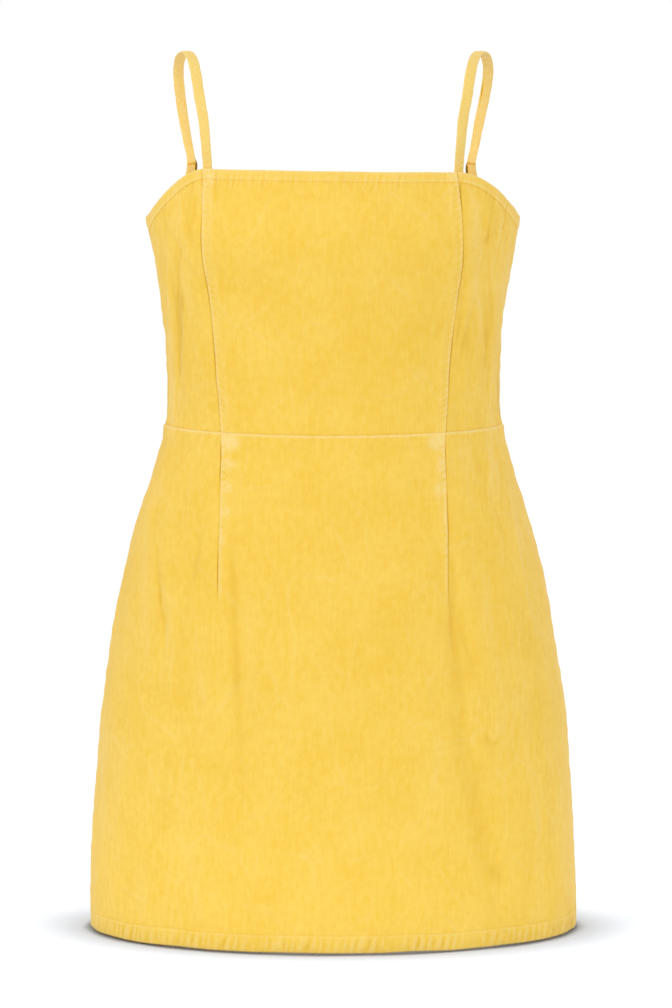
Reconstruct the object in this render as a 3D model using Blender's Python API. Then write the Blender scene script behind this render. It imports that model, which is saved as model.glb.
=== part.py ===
"""Square-neck mini dress in needlecord, filled out as worn, with nobody in it.

The origin is where the wearer's shoulders hold it, midway between the crests of the two straps. The front
faces -Y, the wearer's left is +X, and the hem hangs below the origin. Every panel is a wall of cloth on one
form: a table of cross sections gives the form, and the seams, darts and edges say where each panel ends.
"""
import math
from collections import namedtuple

import bmesh
import bpy
from mathutils import Vector

# ---- Cloth and making up (metres) -------------------------------------------------------------------------
WALL = 0.0016            # one layer of needlecord with its pile
RIM_WALL = 0.0024        # along a seam, with the allowance behind it
TURNED_WALL = 0.0028     # a turned and topstitched edge
DART_WALL = 0.0036       # the take-up folded behind the top of a skirt dart
SEAM_GAP = 0.0003        # between two panels at a seam
EDGE_TURN = 0.0092       # depth of the turned edge round the top
HEM_TURN = 0.0150        # depth of the turned hem
TURN_STEP = 0.0020       # height over which a turned edge thins to one layer

# ---- Heights, measured down from the strap crests ----------------------------------------------------------
NECKLINE = -0.0968
UNDERARM = -0.1378
BACK_NECKLINE = -0.1222  # at the centre back
BACK_CORNER = -0.0955    # the tab of the back panel that carries a strap
BACK_CORNER_FOOT = -0.1130
WAIST_SIDE = -0.3160
WAIST_DIP = 0.0014       # how much lower the waist seam runs at the centre front
DART_TIP = -0.4680
HEM = -0.7497

# ---- Straps ------------------------------------------------------------------------------------------------
STRAP_WIDTH = 0.0082
STRAP_THICKNESS = 0.0020
STRAP_FRONT_X = 0.1078   # its place on the outer face of the neckline, over the princess seam
STRAP_BACK_X = 0.1212    # its place on the outer face of the back, at the middle of the corner
ARMHOLE_X = 0.1055       # where the neckline turns down into the armhole
CORNER_OUTER_FADE = 0.8  # degrees over which the back corner falls away to the armhole
CORNER_INNER_FADE = 1.6  # degrees over which its tip falls away on the other side
NECKLINE_RISE = 0.0110   # how far the back neckline sweeps up towards the corner
NECKLINE_FADE = 9.0      # degrees over which it sweeps up
STRAP_SEAT_GAP = 0.0005  # between a strap's foot and the turned edge in front of it
STRAP_FOOT = 0.0095      # length of a foot below the edge it is sewn to
STRAP_RISE = 0.0030      # height above that edge where it starts to lean
STRAP_POINTS = 40        # stations along a strap

# ---- Facets ------------------------------------------------------------------------------------------------
BODICE_ROWS = 13
SKIRT_ROWS = 21
SEAM_BAND = 0.012        # width of the facets along the centre panel's seams
DART_BAND = 0.010        # and along the inner side of a dart
EDGE_PASSES = 4          # passes that settle a point's height against its edge
SHARP_ANGLE = math.radians(40.0)

# Facets round a back corner, from the side seam inwards: from a strap's outer edge, then from its inner edge.
CORNER_OUTSIDE = (0.0065, 0.0018, 0.0)
CORNER_INSIDE = (0.0, 0.0024, 0.0070, 0.0170)

CLOTH_COLOUR = (0.95, 0.64, 0.10, 1.0)
CLOTH_ROUGHNESS = 0.9

FRONT, BACK = -1, 1
LEFT, RIGHT = 1, -1

# The form: half width, depth to the front and to the back of the side seams, and how each half is rounded.
# A shape of 1 is half an ellipse, less is squarer, and more draws the cloth in towards the side seam.
Section = namedtuple("Section", "name height half_width front back front_shape back_shape")
SECTIONS = (
    Section("strap feet", -0.0900, 0.1490, 0.0880, 0.0850, 1.02, 1.00),
    Section("underarm", -0.1378, 0.1578, 0.1020, 0.0920, 0.96, 1.02),
    Section("bust", -0.1640, 0.1542, 0.1065, 0.0930, 0.94, 1.04),
    Section("below bust", -0.2020, 0.1482, 0.1030, 0.0910, 1.00, 1.06),
    Section("ribs", -0.2400, 0.1430, 0.0990, 0.0875, 1.05, 1.08),
    Section("waist", -0.2790, 0.1406, 0.0970, 0.0850, 1.08, 1.08),
    Section("waist seam", -0.3165, 0.1428, 0.0985, 0.0875, 1.08, 1.08),
    Section("high hip", -0.3560, 0.1537, 0.1060, 0.1000, 1.07, 1.05),
    Section("dart middle", -0.4070, 0.1696, 0.1150, 0.1145, 1.06, 1.02),
    Section("hip", -0.4590, 0.1825, 0.1225, 0.1240, 1.05, 1.00),
    Section("seat", -0.5110, 0.1915, 0.1285, 0.1290, 1.04, 1.00),
    Section("upper thigh", -0.5890, 0.2015, 0.1335, 0.1312, 1.04, 1.02),
    Section("thigh", -0.6660, 0.2063, 0.1365, 0.1318, 1.03, 1.03),
    Section("above hem", -0.7200, 0.2092, 0.1372, 0.1318, 1.02, 1.03),
    Section("hem", -0.7500, 0.2084, 0.1368, 0.1315, 1.01, 1.03),
)

# The princess seam's distance from the centre front, and the skirt dart's below the waist.
SeamPoint = namedtuple("SeamPoint", "height across")
PRINCESS_SEAM = (
    SeamPoint(-0.0900, 0.1046),
    SeamPoint(-0.1300, 0.1078),
    SeamPoint(-0.1700, 0.1086),
    SeamPoint(-0.2050, 0.1046),
    SeamPoint(-0.2500, 0.0995),
    SeamPoint(-0.3200, 0.0945),
)
SKIRT_DART = (
    SeamPoint(-0.3100, 0.0940),
    SeamPoint(-0.4000, 0.0962),
    SeamPoint(-0.4680, 0.0974),
)

# The largest soft folds. A fold runs from its top to its foot; a negative depth is a trough.
Fold = namedtuple("Fold", "name face top_across top_height foot_across foot_height half_width depth")
FOLDS = (
    Fold("right dart trough", FRONT, -0.0840, -0.3950, -0.0770, -0.6150, 0.0100, -0.0026),
    Fold("right hip trough", FRONT, -0.1090, -0.3900, -0.1260, -0.5200, 0.0110, -0.0018),
    Fold("left dart ridge", FRONT, 0.0990, -0.4050, 0.1540, -0.5800, 0.0120, 0.0026),
    Fold("left dart trough", FRONT, 0.0965, -0.4400, 0.1380, -0.7000, 0.0130, -0.0032),
    Fold("left side panel ridge", FRONT, 0.1180, -0.1850, 0.1080, -0.2700, 0.0070, 0.0012),
    Fold("right side panel trough", FRONT, -0.1330, -0.1900, -0.1310, -0.2950, 0.0070, -0.0018),
    Fold("back left trough", BACK, 0.0560, -0.4100, 0.0720, -0.6400, 0.0120, -0.0026),
    Fold("back right trough", BACK, -0.0620, -0.4300, -0.0560, -0.6000, 0.0110, -0.0024),
    Fold("back right ridge", BACK, -0.1040, -0.4200, -0.1400, -0.6500, 0.0140, 0.0022),
    Fold("back waist trough", BACK, 0.0850, -0.2350, 0.0700, -0.3120, 0.0080, -0.0016),
)

# A strap's free stretch, for the wearer's left. The yaw is how far its width is turned from the X axis.
StrapPoint = namedtuple("StrapPoint", "name x y z yaw")
STRAP_ROUTE = (
    StrapPoint("above neckline", 0.1070, -0.0590, -0.0760, 26.0),
    StrapPoint("front lower", 0.1090, -0.0560, -0.0550, 18.0),
    StrapPoint("front upper", 0.1125, -0.0490, -0.0360, 11.0),
    StrapPoint("front shoulder", 0.1158, -0.0350, -0.0165, 5.0),
    StrapPoint("before crest", 0.1192, -0.0165, -0.0020, 2.0),
    StrapPoint("crest", 0.1248, 0.0000, 0.0005, 0.0),
    StrapPoint("behind crest", 0.1304, 0.0155, -0.0020, -2.0),
    StrapPoint("back shoulder", 0.1324, 0.0320, -0.0165, -6.0),
    StrapPoint("back upper", 0.1303, 0.0428, -0.0370, -14.0),
    StrapPoint("back lower", 0.1276, 0.0470, -0.0580, -24.0),
    StrapPoint("above back corner", 0.1240, 0.0472, -0.0780, -32.0),
)


# ---- The form ----------------------------------------------------------------------------------------------
def smooth_step(share):
    """Ease from 0 to 1 with no corner at either end."""
    share = min(max(share, 0.0), 1.0)
    return share * share * (3.0 - 2.0 * share)


def read_table(rows, column, height):
    """One column of a table at a height, on a smooth curve through the rows, which run from the top down."""
    heights = [row.height for row in rows]
    values = [getattr(row, column) for row in rows]
    height = min(max(height, heights[-1]), heights[0])
    last = len(rows) - 1
    index = next(i for i in range(last) if height >= heights[i + 1])

    def slope(i):
        low, high = max(i - 1, 0), min(i + 1, last)
        return (values[high] - values[low]) / (heights[high] - heights[low])

    span = heights[index + 1] - heights[index]
    share = (height - heights[index]) / span
    turn = share * share * (3.0 - 2.0 * share)
    leave = share * (1.0 - share) ** 2 * span * slope(index)
    arrive = -share * share * (1.0 - share) * span * slope(index + 1)
    return values[index] * (1.0 - turn) + values[index + 1] * turn + leave + arrive


def form_point(angle, height):
    """A point on the smooth form. The angle is 0 at the left side seam, -90 degrees at the centre front."""
    sine = math.sin(angle)
    half = "front" if sine < 0.0 else "back"
    depth = read_table(SECTIONS, half, height)
    shape = read_table(SECTIONS, half + "_shape", height)
    across = read_table(SECTIONS, "half_width", height) * math.cos(angle)
    return Vector((across, math.copysign(depth * abs(sine) ** shape, sine), height))


def form_normal(angle, height):
    """The form's outward direction."""
    turn, rise = math.radians(1.5), 0.002
    along = form_point(angle + turn, height) - form_point(angle - turn, height)
    up = form_point(angle, height + rise) - form_point(angle, height - rise)
    return along.cross(up).normalized()


def fold_depth(point):
    """How far the soft folds lift a point of the form off it."""
    face = FRONT if point.y < 0.0 else BACK
    lift = 0.0
    for fold in FOLDS:
        if fold.face != face:
            continue
        share = (fold.top_height - point.z) / (fold.top_height - fold.foot_height)
        if 0.0 < share < 1.0:
            middle = fold.top_across + share * (fold.foot_across - fold.top_across)
            fade = math.sin(math.pi * share) ** 0.7
            lift += fold.depth * fade * math.exp(-((point.x - middle) / fold.half_width) ** 2)
    return lift


def cloth_point(angle, height, inward):
    """A point of the cloth: on its outer face, or the given distance in from it."""
    base = form_point(angle, height)
    return base + form_normal(angle, height) * (fold_depth(base) - inward)


# ---- Seams and edges ---------------------------------------------------------------------------------------
def angle_across(across, height, face):
    """The angle on one face of the form at a distance from its centre line."""
    half_width = read_table(SECTIONS, "half_width", height)
    return face * math.acos(min(max(across / half_width, -1.0), 1.0))


def side_seam(side, face):
    """A side seam, as the angle at each height. The right one is half a turn away, either way round."""
    turn = 0.0 if side == LEFT else face * math.pi
    return lambda height: turn


def back_seam():
    """The centre back seam."""
    return lambda height: 0.5 * math.pi


def line_on(face, table, side, inset=0.0):
    """A seam or a line beside it, from a table of distances from the centre line."""
    return lambda height: angle_across(side * (read_table(table, "across", height) - inset), height, face)


def line_at(face, across):
    """A line that keeps one distance from the centre line."""
    return lambda height: angle_across(across, height, face)


def off_side(angle):
    """How far round from the nearer side seam an angle is, 0 to 90 degrees."""
    return math.asin(min(abs(math.sin(angle)), 1.0))


def top_edge(angle):
    """Height of the top edge: straight neckline, scooped armholes, back dipped between its corners."""
    turn = off_side(angle)
    if math.sin(angle) < 0.0:
        start = off_side(angle_across(ARMHOLE_X, NECKLINE, FRONT))
        return UNDERARM + (NECKLINE - UNDERARM) * smooth_step(turn / start)
    half_strap = 0.5 * STRAP_WIDTH
    outer = off_side(angle_across(STRAP_BACK_X + half_strap, BACK_CORNER, BACK))
    inner = off_side(angle_across(STRAP_BACK_X - half_strap, BACK_CORNER, BACK))
    if turn < outer:
        armhole = UNDERARM + (BACK_CORNER_FOOT - UNDERARM) * (turn / outer) ** 2
        rise = math.exp((turn - outer) / math.radians(CORNER_OUTER_FADE))
        return armhole + (BACK_CORNER - BACK_CORNER_FOOT) * rise
    if turn < inner:
        return BACK_CORNER
    beyond = math.degrees(turn - inner)
    tip = BACK_CORNER - BACK_NECKLINE - NECKLINE_RISE
    sweep = NECKLINE_RISE * math.exp(-beyond / NECKLINE_FADE)
    return BACK_NECKLINE + sweep + tip * math.exp(-beyond / CORNER_INNER_FADE)


def waist_seam(angle):
    """Height of the waist seam, a little lower at the centre front."""
    forward = max(-math.sin(angle), 0.0)
    return WAIST_SIDE - WAIST_DIP * forward * forward


def hem_edge(angle):
    """Height of the hem's lower edge, level all round."""
    return HEM


# ---- Panels ------------------------------------------------------------------------------------------------
def turned_rows(top, bottom, turn_at_top, rows):
    """Row heights of a column, with extra rows where its turned edge ends."""
    if turn_at_top:
        start = top - EDGE_TURN
        body = [start - TURN_STEP + (bottom - start + TURN_STEP) * i / (rows - 2) for i in range(rows - 1)]
        return [top, start] + body
    start = bottom + HEM_TURN
    body = [top + (start + TURN_STEP - top) * i / (rows - 2) for i in range(rows - 1)]
    return body + [start, bottom]


def column_angle(lines, counts, column, height):
    """Angle of one column of a panel: evenly spaced between the lines that bound each stretch."""
    for (first, second), count in zip(zip(lines, lines[1:]), counts):
        if column <= count:
            return first(height) + (second(height) - first(height)) * column / count
        column -= count
    return lines[-1](height)


def pull_in(points, neighbours):
    """Move an edge's points half the seam gap towards the points next to them."""
    for point, neighbour in zip(points, neighbours):
        point += (neighbour - point).normalized() * (0.5 * SEAM_GAP)


def panel_face(lines, counts, upper, lower, rows, turn_at_top, wall_at, inner):
    """Grid of points on one face of a panel, as a list of columns."""
    columns = sum(counts)
    face = []
    for column in range(columns + 1):
        points = []
        for step in range(rows + 1):
            height = WAIST_SIDE
            for _ in range(EDGE_PASSES):
                angle = column_angle(lines, counts, column, height)
                height = turned_rows(upper(angle), lower(angle), turn_at_top, rows)[step]
            inward = wall_at(column, columns, step, rows, height) if inner else 0.0
            points.append(cloth_point(angle, height, inward))
        face.append(points)
    pull_in(face[0], face[1])
    pull_in(face[-1], face[-2])
    seam_row, next_row = (-1, -2) if turn_at_top else (0, 1)
    pull_in([points[seam_row] for points in face], [points[next_row] for points in face])
    return face


def join_faces(name, outer, inner):
    """One closed wall of cloth from its outer and inner grids."""
    mesh = bpy.data.meshes.new(name)
    bm = bmesh.new()
    skins = [[[bm.verts.new(point) for point in points] for points in face] for face in (outer, inner)]
    last_column, last_row = len(outer) - 1, len(outer[0]) - 1
    for skin in skins:
        for i in range(last_column):
            for j in range(last_row):
                bm.faces.new((skin[i][j], skin[i + 1][j], skin[i + 1][j + 1], skin[i][j + 1]))
    front, back = skins
    for i in range(last_column):
        for j in (0, last_row):
            bm.faces.new((front[i][j], front[i + 1][j], back[i + 1][j], back[i][j]))
    for j in range(last_row):
        for i in (0, last_column):
            bm.faces.new((front[i][j], front[i][j + 1], back[i][j + 1], back[i][j]))
    bmesh.ops.triangulate(bm, faces=bm.faces[:])
    bmesh.ops.recalc_face_normals(bm, faces=bm.faces[:])
    bm.to_mesh(mesh)
    bm.free()
    mesh.shade_smooth()
    mesh.set_sharp_from_angle(angle=SHARP_ANGLE)
    return add_object(name, mesh)


def bodice_wall(column, columns, step, rows, height):
    """Thickness of a bodice panel: turned at the top, with an allowance along its seams."""
    if step <= 1:
        return TURNED_WALL
    return RIM_WALL if column in (0, columns) or step == rows else WALL


def skirt_wall(column, columns, step, rows, height):
    """Thickness of a skirt panel: an allowance along its seams, turned at the hem."""
    if step >= rows - 1:
        return TURNED_WALL
    return RIM_WALL if column in (0, columns) or step == 0 else WALL


def dart_wall(dart_columns):
    """Thickness of the skirt front, with the take-up of its two darts behind their lines."""
    def wall(column, columns, step, rows, height):
        plain = skirt_wall(column, columns, step, rows, height)
        if column not in dart_columns or height < DART_TIP:
            return plain
        share = (height - DART_TIP) / (WAIST_SIDE - DART_TIP)
        return max(plain, WALL + (DART_WALL - WALL) * min(share, 1.0))
    return wall


def make_panel(name, lines, counts, upper, lower, rows, turn_at_top, wall_at):
    """One panel of the dress."""
    shape = (lines, counts, upper, lower, rows, turn_at_top, wall_at)
    return join_faces(name, panel_face(*shape, inner=False), panel_face(*shape, inner=True))


def make_bodice():
    """Five panels from the top edge to the waist seam."""
    left_seam = line_on(FRONT, PRINCESS_SEAM, LEFT)
    right_seam = line_on(FRONT, PRINCESS_SEAM, RIGHT)
    inside_left = line_on(FRONT, PRINCESS_SEAM, LEFT, SEAM_BAND)
    inside_right = line_on(FRONT, PRINCESS_SEAM, RIGHT, SEAM_BAND)
    make_panel("bodice_front_centre", (left_seam, inside_left, inside_right, right_seam), (1, 8, 1),
               top_edge, waist_seam, BODICE_ROWS, True, bodice_wall)
    make_panel("bodice_front_side_left", (side_seam(LEFT, FRONT), left_seam), (8,),
               top_edge, waist_seam, BODICE_ROWS, True, bodice_wall)
    make_panel("bodice_front_side_right", (right_seam, side_seam(RIGHT, FRONT)), (8,),
               top_edge, waist_seam, BODICE_ROWS, True, bodice_wall)
    half_strap = 0.5 * STRAP_WIDTH
    for name, side in (("left", LEFT), ("right", RIGHT)):
        lines = [side_seam(side, BACK)]
        lines += [line_at(BACK, side * (STRAP_BACK_X + half_strap + beyond)) for beyond in CORNER_OUTSIDE]
        lines += [line_at(BACK, side * (STRAP_BACK_X - half_strap - beyond)) for beyond in CORNER_INSIDE]
        lines.append(back_seam())
        make_panel("bodice_back_" + name, lines, (5, 1, 1, 1, 1, 1, 1, 6),
                   top_edge, waist_seam, BODICE_ROWS, True, bodice_wall)


def make_skirt():
    """Three panels from the waist seam to the hem."""
    left_dart = line_on(FRONT, SKIRT_DART, LEFT)
    right_dart = line_on(FRONT, SKIRT_DART, RIGHT)
    inside_left = line_on(FRONT, SKIRT_DART, LEFT, DART_BAND)
    inside_right = line_on(FRONT, SKIRT_DART, RIGHT, DART_BAND)
    lines = (side_seam(LEFT, FRONT), left_dart, inside_left,
             inside_right, right_dart, side_seam(RIGHT, FRONT))
    counts = (7, 1, 8, 1, 7)
    make_panel("skirt_front", lines, counts, waist_seam, hem_edge, SKIRT_ROWS, False,
               dart_wall((counts[0], sum(counts) - counts[-1])))
    for name, side in (("left", LEFT), ("right", RIGHT)):
        make_panel("skirt_back_" + name, (side_seam(side, BACK), back_seam()), (12,),
                   waist_seam, hem_edge, SKIRT_ROWS, False, skirt_wall)


# ---- Straps ------------------------------------------------------------------------------------------------
def strap_foot(name, across, height, face, yaw):
    """A station of a strap's foot, just inside the turned edge."""
    angle = angle_across(across, height, face)
    inward = TURNED_WALL + STRAP_SEAT_GAP + 0.5 * STRAP_THICKNESS
    point = form_point(angle, height) - form_normal(angle, height) * inward
    return StrapPoint(name, point.x, point.y, point.z, yaw)


def edge_yaw(across, height, face):
    """How far the form's level tangent is turned from the X axis."""
    normal = form_normal(angle_across(across, height, face), height)
    return math.degrees(math.atan2(normal.x, -normal.y) if face == FRONT else math.atan2(-normal.x, normal.y))


def strap_stations():
    """The whole route of the left strap, feet included."""
    front_yaw = edge_yaw(STRAP_FRONT_X, NECKLINE, FRONT)
    back_yaw = edge_yaw(STRAP_BACK_X, BACK_CORNER, BACK)
    front = [strap_foot("front foot", STRAP_FRONT_X, NECKLINE - STRAP_FOOT, FRONT, front_yaw),
             strap_foot("front edge", STRAP_FRONT_X, NECKLINE + STRAP_RISE, FRONT, front_yaw)]
    back = [strap_foot("back edge", STRAP_BACK_X, BACK_CORNER + STRAP_RISE, BACK, back_yaw),
            strap_foot("back foot", STRAP_BACK_X, BACK_CORNER - STRAP_FOOT, BACK, back_yaw)]
    return front + list(STRAP_ROUTE) + back


def along_route(stations, share):
    """A smooth point and yaw at a share of the way through the stations."""
    place = share * (len(stations) - 1)
    index = min(int(place), len(stations) - 2)
    part = place - index
    picks = [stations[min(max(index + k, 0), len(stations) - 1)] for k in (-1, 0, 1, 2)]
    values = [(pick.x, pick.y, pick.z, pick.yaw) for pick in picks]
    weights = (
        0.5 * (-part + 2.0 * part ** 2 - part ** 3),
        0.5 * (2.0 - 5.0 * part ** 2 + 3.0 * part ** 3),
        0.5 * (part + 4.0 * part ** 2 - 3.0 * part ** 3),
        0.5 * (-part ** 2 + part ** 3),
    )
    x, y, z, yaw = (sum(weight * value[i] for weight, value in zip(weights, values)) for i in range(4))
    return Vector((x, y, z)), math.radians(yaw)


def make_strap(name, side):
    """A flat folded strap, swept along its route with its width turned by the yaw."""
    stations = strap_stations()
    mesh = bpy.data.meshes.new(name)
    bm = bmesh.new()
    rings = []
    step = 1.0 / STRAP_POINTS
    for i in range(STRAP_POINTS + 1):
        middle, yaw = along_route(stations, i * step)
        ahead, _ = along_route(stations, min((i + 0.5) * step, 1.0))
        behind, _ = along_route(stations, max((i - 0.5) * step, 0.0))
        tangent = (ahead - behind).normalized()
        level = Vector((math.cos(yaw), math.sin(yaw), 0.0))
        across = (level - tangent * level.dot(tangent)).normalized() * (0.5 * STRAP_WIDTH)
        through = tangent.cross(across).normalized() * (0.5 * STRAP_THICKNESS)
        corners = (across + through, across - through, -across - through, through - across)
        ring = []
        for corner in corners:
            point = middle + corner
            point.x *= side
            ring.append(bm.verts.new(point))
        rings.append(ring)
    for ring, following in zip(rings, rings[1:]):
        for k in range(4):
            bm.faces.new((ring[k], ring[(k + 1) % 4], following[(k + 1) % 4], following[k]))
    bm.faces.new(rings[0])
    bm.faces.new(rings[-1])
    bmesh.ops.triangulate(bm, faces=bm.faces[:])
    bmesh.ops.recalc_face_normals(bm, faces=bm.faces[:])
    bm.to_mesh(mesh)
    bm.free()
    mesh.shade_smooth()
    mesh.set_sharp_from_angle(angle=SHARP_ANGLE)
    return add_object(name, mesh)


# ---- Scene -------------------------------------------------------------------------------------------------
def cloth_material():
    """Garment-dyed yellow needlecord."""
    material = bpy.data.materials.new("needlecord_yellow")
    material.use_nodes = True
    shader = material.node_tree.nodes["Principled BSDF"]
    shader.inputs["Base Color"].default_value = CLOTH_COLOUR
    shader.inputs["Roughness"].default_value = CLOTH_ROUGHNESS
    shader.inputs["Metallic"].default_value = 0.0
    return material


def add_object(name, mesh):
    """Put a finished mesh in the scene as a sub-part of its own."""
    mesh.materials.append(cloth_material())
    piece = bpy.data.objects.new(name, mesh)
    bpy.context.scene.collection.objects.link(piece)
    return piece


def clear_scene():
    """Remove whatever the scene starts with."""
    for leftover in list(bpy.data.objects):
        bpy.data.objects.remove(leftover, do_unlink=True)


def main():
    clear_scene()
    make_bodice()
    make_skirt()
    make_strap("strap_left", LEFT)
    make_strap("strap_right", RIGHT)


main()
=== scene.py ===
"""Looks of a square-neck mini dress in yellow needlecord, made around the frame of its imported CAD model.

Each panel is a thin shell on the form of its CAD solid, with its seams, turned edges and creases as real
relief. The wale, the pile, the uneven garment dye and the wear are in the cloth's material.
Metres, +Z up. The front faces -Y and the wearer's left is +X. Heights are measured from the strap crests.
"""
import math
import random
from collections import namedtuple

import bpy
import numpy as np
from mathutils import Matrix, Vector


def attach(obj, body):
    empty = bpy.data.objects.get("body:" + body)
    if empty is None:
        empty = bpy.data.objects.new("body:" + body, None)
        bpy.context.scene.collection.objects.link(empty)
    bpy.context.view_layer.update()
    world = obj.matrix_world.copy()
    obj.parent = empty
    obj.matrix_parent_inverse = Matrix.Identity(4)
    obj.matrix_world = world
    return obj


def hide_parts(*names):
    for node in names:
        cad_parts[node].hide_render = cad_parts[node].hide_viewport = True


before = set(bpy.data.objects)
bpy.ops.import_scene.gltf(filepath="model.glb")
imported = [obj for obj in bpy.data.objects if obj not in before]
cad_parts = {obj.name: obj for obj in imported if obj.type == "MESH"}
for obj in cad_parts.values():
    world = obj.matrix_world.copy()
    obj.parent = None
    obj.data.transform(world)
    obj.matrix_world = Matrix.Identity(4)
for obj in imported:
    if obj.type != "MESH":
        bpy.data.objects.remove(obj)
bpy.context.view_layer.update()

FRONT, BACK = -1, 1
LEFT, RIGHT = 1, -1
MM = 0.001

# ---- The form, as in the CAD source
Section = namedtuple("Section", "name height half_width front back front_shape back_shape")
SECTIONS = (
    Section("strap feet", -0.0900, 0.1490, 0.0880, 0.0850, 1.02, 1.00),
    Section("underarm", -0.1378, 0.1578, 0.1020, 0.0920, 0.96, 1.02),
    Section("bust", -0.1640, 0.1542, 0.1065, 0.0930, 0.94, 1.04),
    Section("below bust", -0.2020, 0.1482, 0.1030, 0.0910, 1.00, 1.06),
    Section("ribs", -0.2400, 0.1430, 0.0990, 0.0875, 1.05, 1.08),
    Section("waist", -0.2790, 0.1406, 0.0970, 0.0850, 1.08, 1.08),
    Section("waist seam", -0.3165, 0.1428, 0.0985, 0.0875, 1.08, 1.08),
    Section("high hip", -0.3560, 0.1537, 0.1060, 0.1000, 1.07, 1.05),
    Section("dart middle", -0.4070, 0.1696, 0.1150, 0.1145, 1.06, 1.02),
    Section("hip", -0.4590, 0.1825, 0.1225, 0.1240, 1.05, 1.00),
    Section("seat", -0.5110, 0.1915, 0.1285, 0.1290, 1.04, 1.00),
    Section("upper thigh", -0.5890, 0.2015, 0.1335, 0.1312, 1.04, 1.02),
    Section("thigh", -0.6660, 0.2063, 0.1365, 0.1318, 1.03, 1.03),
    Section("above hem", -0.7200, 0.2092, 0.1372, 0.1318, 1.02, 1.03),
    Section("hem", -0.7500, 0.2084, 0.1368, 0.1315, 1.01, 1.03),
)
SeamPoint = namedtuple("SeamPoint", "height across")
# The seams as worn: the top of the dress is drawn a little towards the wearer's right.
LOWER_PRINCESS = (SeamPoint(-0.2050, 0.1046), SeamPoint(-0.2500, 0.0995), SeamPoint(-0.3200, 0.0945))
PRINCESS_SEAM = {
    LEFT: (SeamPoint(-0.0900, 0.1036), SeamPoint(-0.1300, 0.1076), SeamPoint(-0.1700, 0.1086),
           *LOWER_PRINCESS),
    RIGHT: (SeamPoint(-0.0900, 0.1100), SeamPoint(-0.1300, 0.1102), SeamPoint(-0.1700, 0.1094),
            *LOWER_PRINCESS),
}
SKIRT_DART = (SeamPoint(-0.3100, 0.0940), SeamPoint(-0.4000, 0.0962), SeamPoint(-0.4680, 0.0974))
NECKLINE = -0.0968
NECK_TILT = -0.0020         # the neckline sits a little higher at the wearer's right, as worn
UNDERARM = -0.1378
BACK_NECKLINE = -0.1222
BACK_CORNER = -0.0955
BACK_CORNER_FOOT = -0.1130
NECKLINE_RISE = 0.0110
NECKLINE_FADE = 9.0         # degrees
CORNER_OUTER_FADE = 0.45    # degrees
CORNER_INNER_FADE = 1.1     # degrees
ARMHOLE_X = 0.1055
WAIST_SIDE = -0.3160
WAIST_DIP = 0.0014
DART_TIP = -0.4680
HEM = -0.7497

STRAP_WIDTH = 0.0090
STRAP_THICKNESS = 0.0020
STRAP_FRONT_X = 0.1078
STRAP_BACK_X = {LEFT: 0.1216, RIGHT: 0.1248}
BACK_CORNER_X = {LEFT: 0.1190, RIGHT: 0.1222}
CORNER_WIDTH = 0.0060
STRAP_FOOT = 0.0095
STRAP_RISE = 0.0030
STRAP_SEAT_GAP = 0.0005
StrapPoint = namedtuple("StrapPoint", "name x y z yaw")
STRAP_ROUTE = (
    StrapPoint("above neckline", 0.1070, -0.0590, -0.0760, 26.0),
    StrapPoint("front lower", 0.1090, -0.0560, -0.0550, 18.0),
    StrapPoint("front upper", 0.1125, -0.0490, -0.0360, 11.0),
    StrapPoint("front shoulder", 0.1158, -0.0350, -0.0165, 5.0),
    StrapPoint("before crest", 0.1196, -0.0165, -0.0040, 2.0),
    StrapPoint("crest", 0.1248, 0.0000, 0.0005, 0.0),
    StrapPoint("behind crest", 0.1300, 0.0155, -0.0040, -2.0),
    StrapPoint("back shoulder", 0.1324, 0.0320, -0.0165, -6.0),
    StrapPoint("back upper", 0.1300, 0.0428, -0.0370, -14.0),
    StrapPoint("back lower", 0.1263, 0.0470, -0.0580, -24.0),
    StrapPoint("above back corner", 0.1229, 0.0472, -0.0780, -36.0),
)

# How much further out each strap hangs at the back.
STRAP_SWAY = {
    LEFT: {"back lower": -0.0006, "above back corner": -0.0009},
    RIGHT: {"back upper": 0.0012, "back lower": 0.0021, "above back corner": 0.0019},
}

# ---- Cloth and sewing
CLOTH = 1.6 * MM            # one layer
TURNED = 2.8 * MM           # a turned edge, folded double
ALLOWANCE = 10.5 * MM       # width of a seam allowance, pressed flat behind the cloth
ALLOWANCE_CLOTH = 0.9 * MM  # what it adds on the wrong side
TURN_DEPTH = 10.2 * MM      # the turned edge round the top
TURN_STITCH = 9.0 * MM      # its stitching, measured from the edge
ARMHOLE_TURN = 0.45         # how much further down the turned edge ends where it slopes into an armhole
HEM_DEPTH = 16.2 * MM
HEM_STITCH = 15.2 * MM
EDGE_WANDER = 0.30 * MM     # how far the finished edges wander from their lines
HEM_WANDER = 0.35 * MM
PANEL_GAP = 0.05 * MM       # half of what is left between two panels
STITCH_LENGTH = 2.5 * MM
STITCH_PITCH = 3.1 * MM
STITCH_RADIUS = 0.24 * MM
STITCH_MARGIN = 0.8 * MM
SIDE_SEED, WAIST_SEED, EDGE_SEED, HEM_SEED = 11, 23, 37, 41

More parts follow.
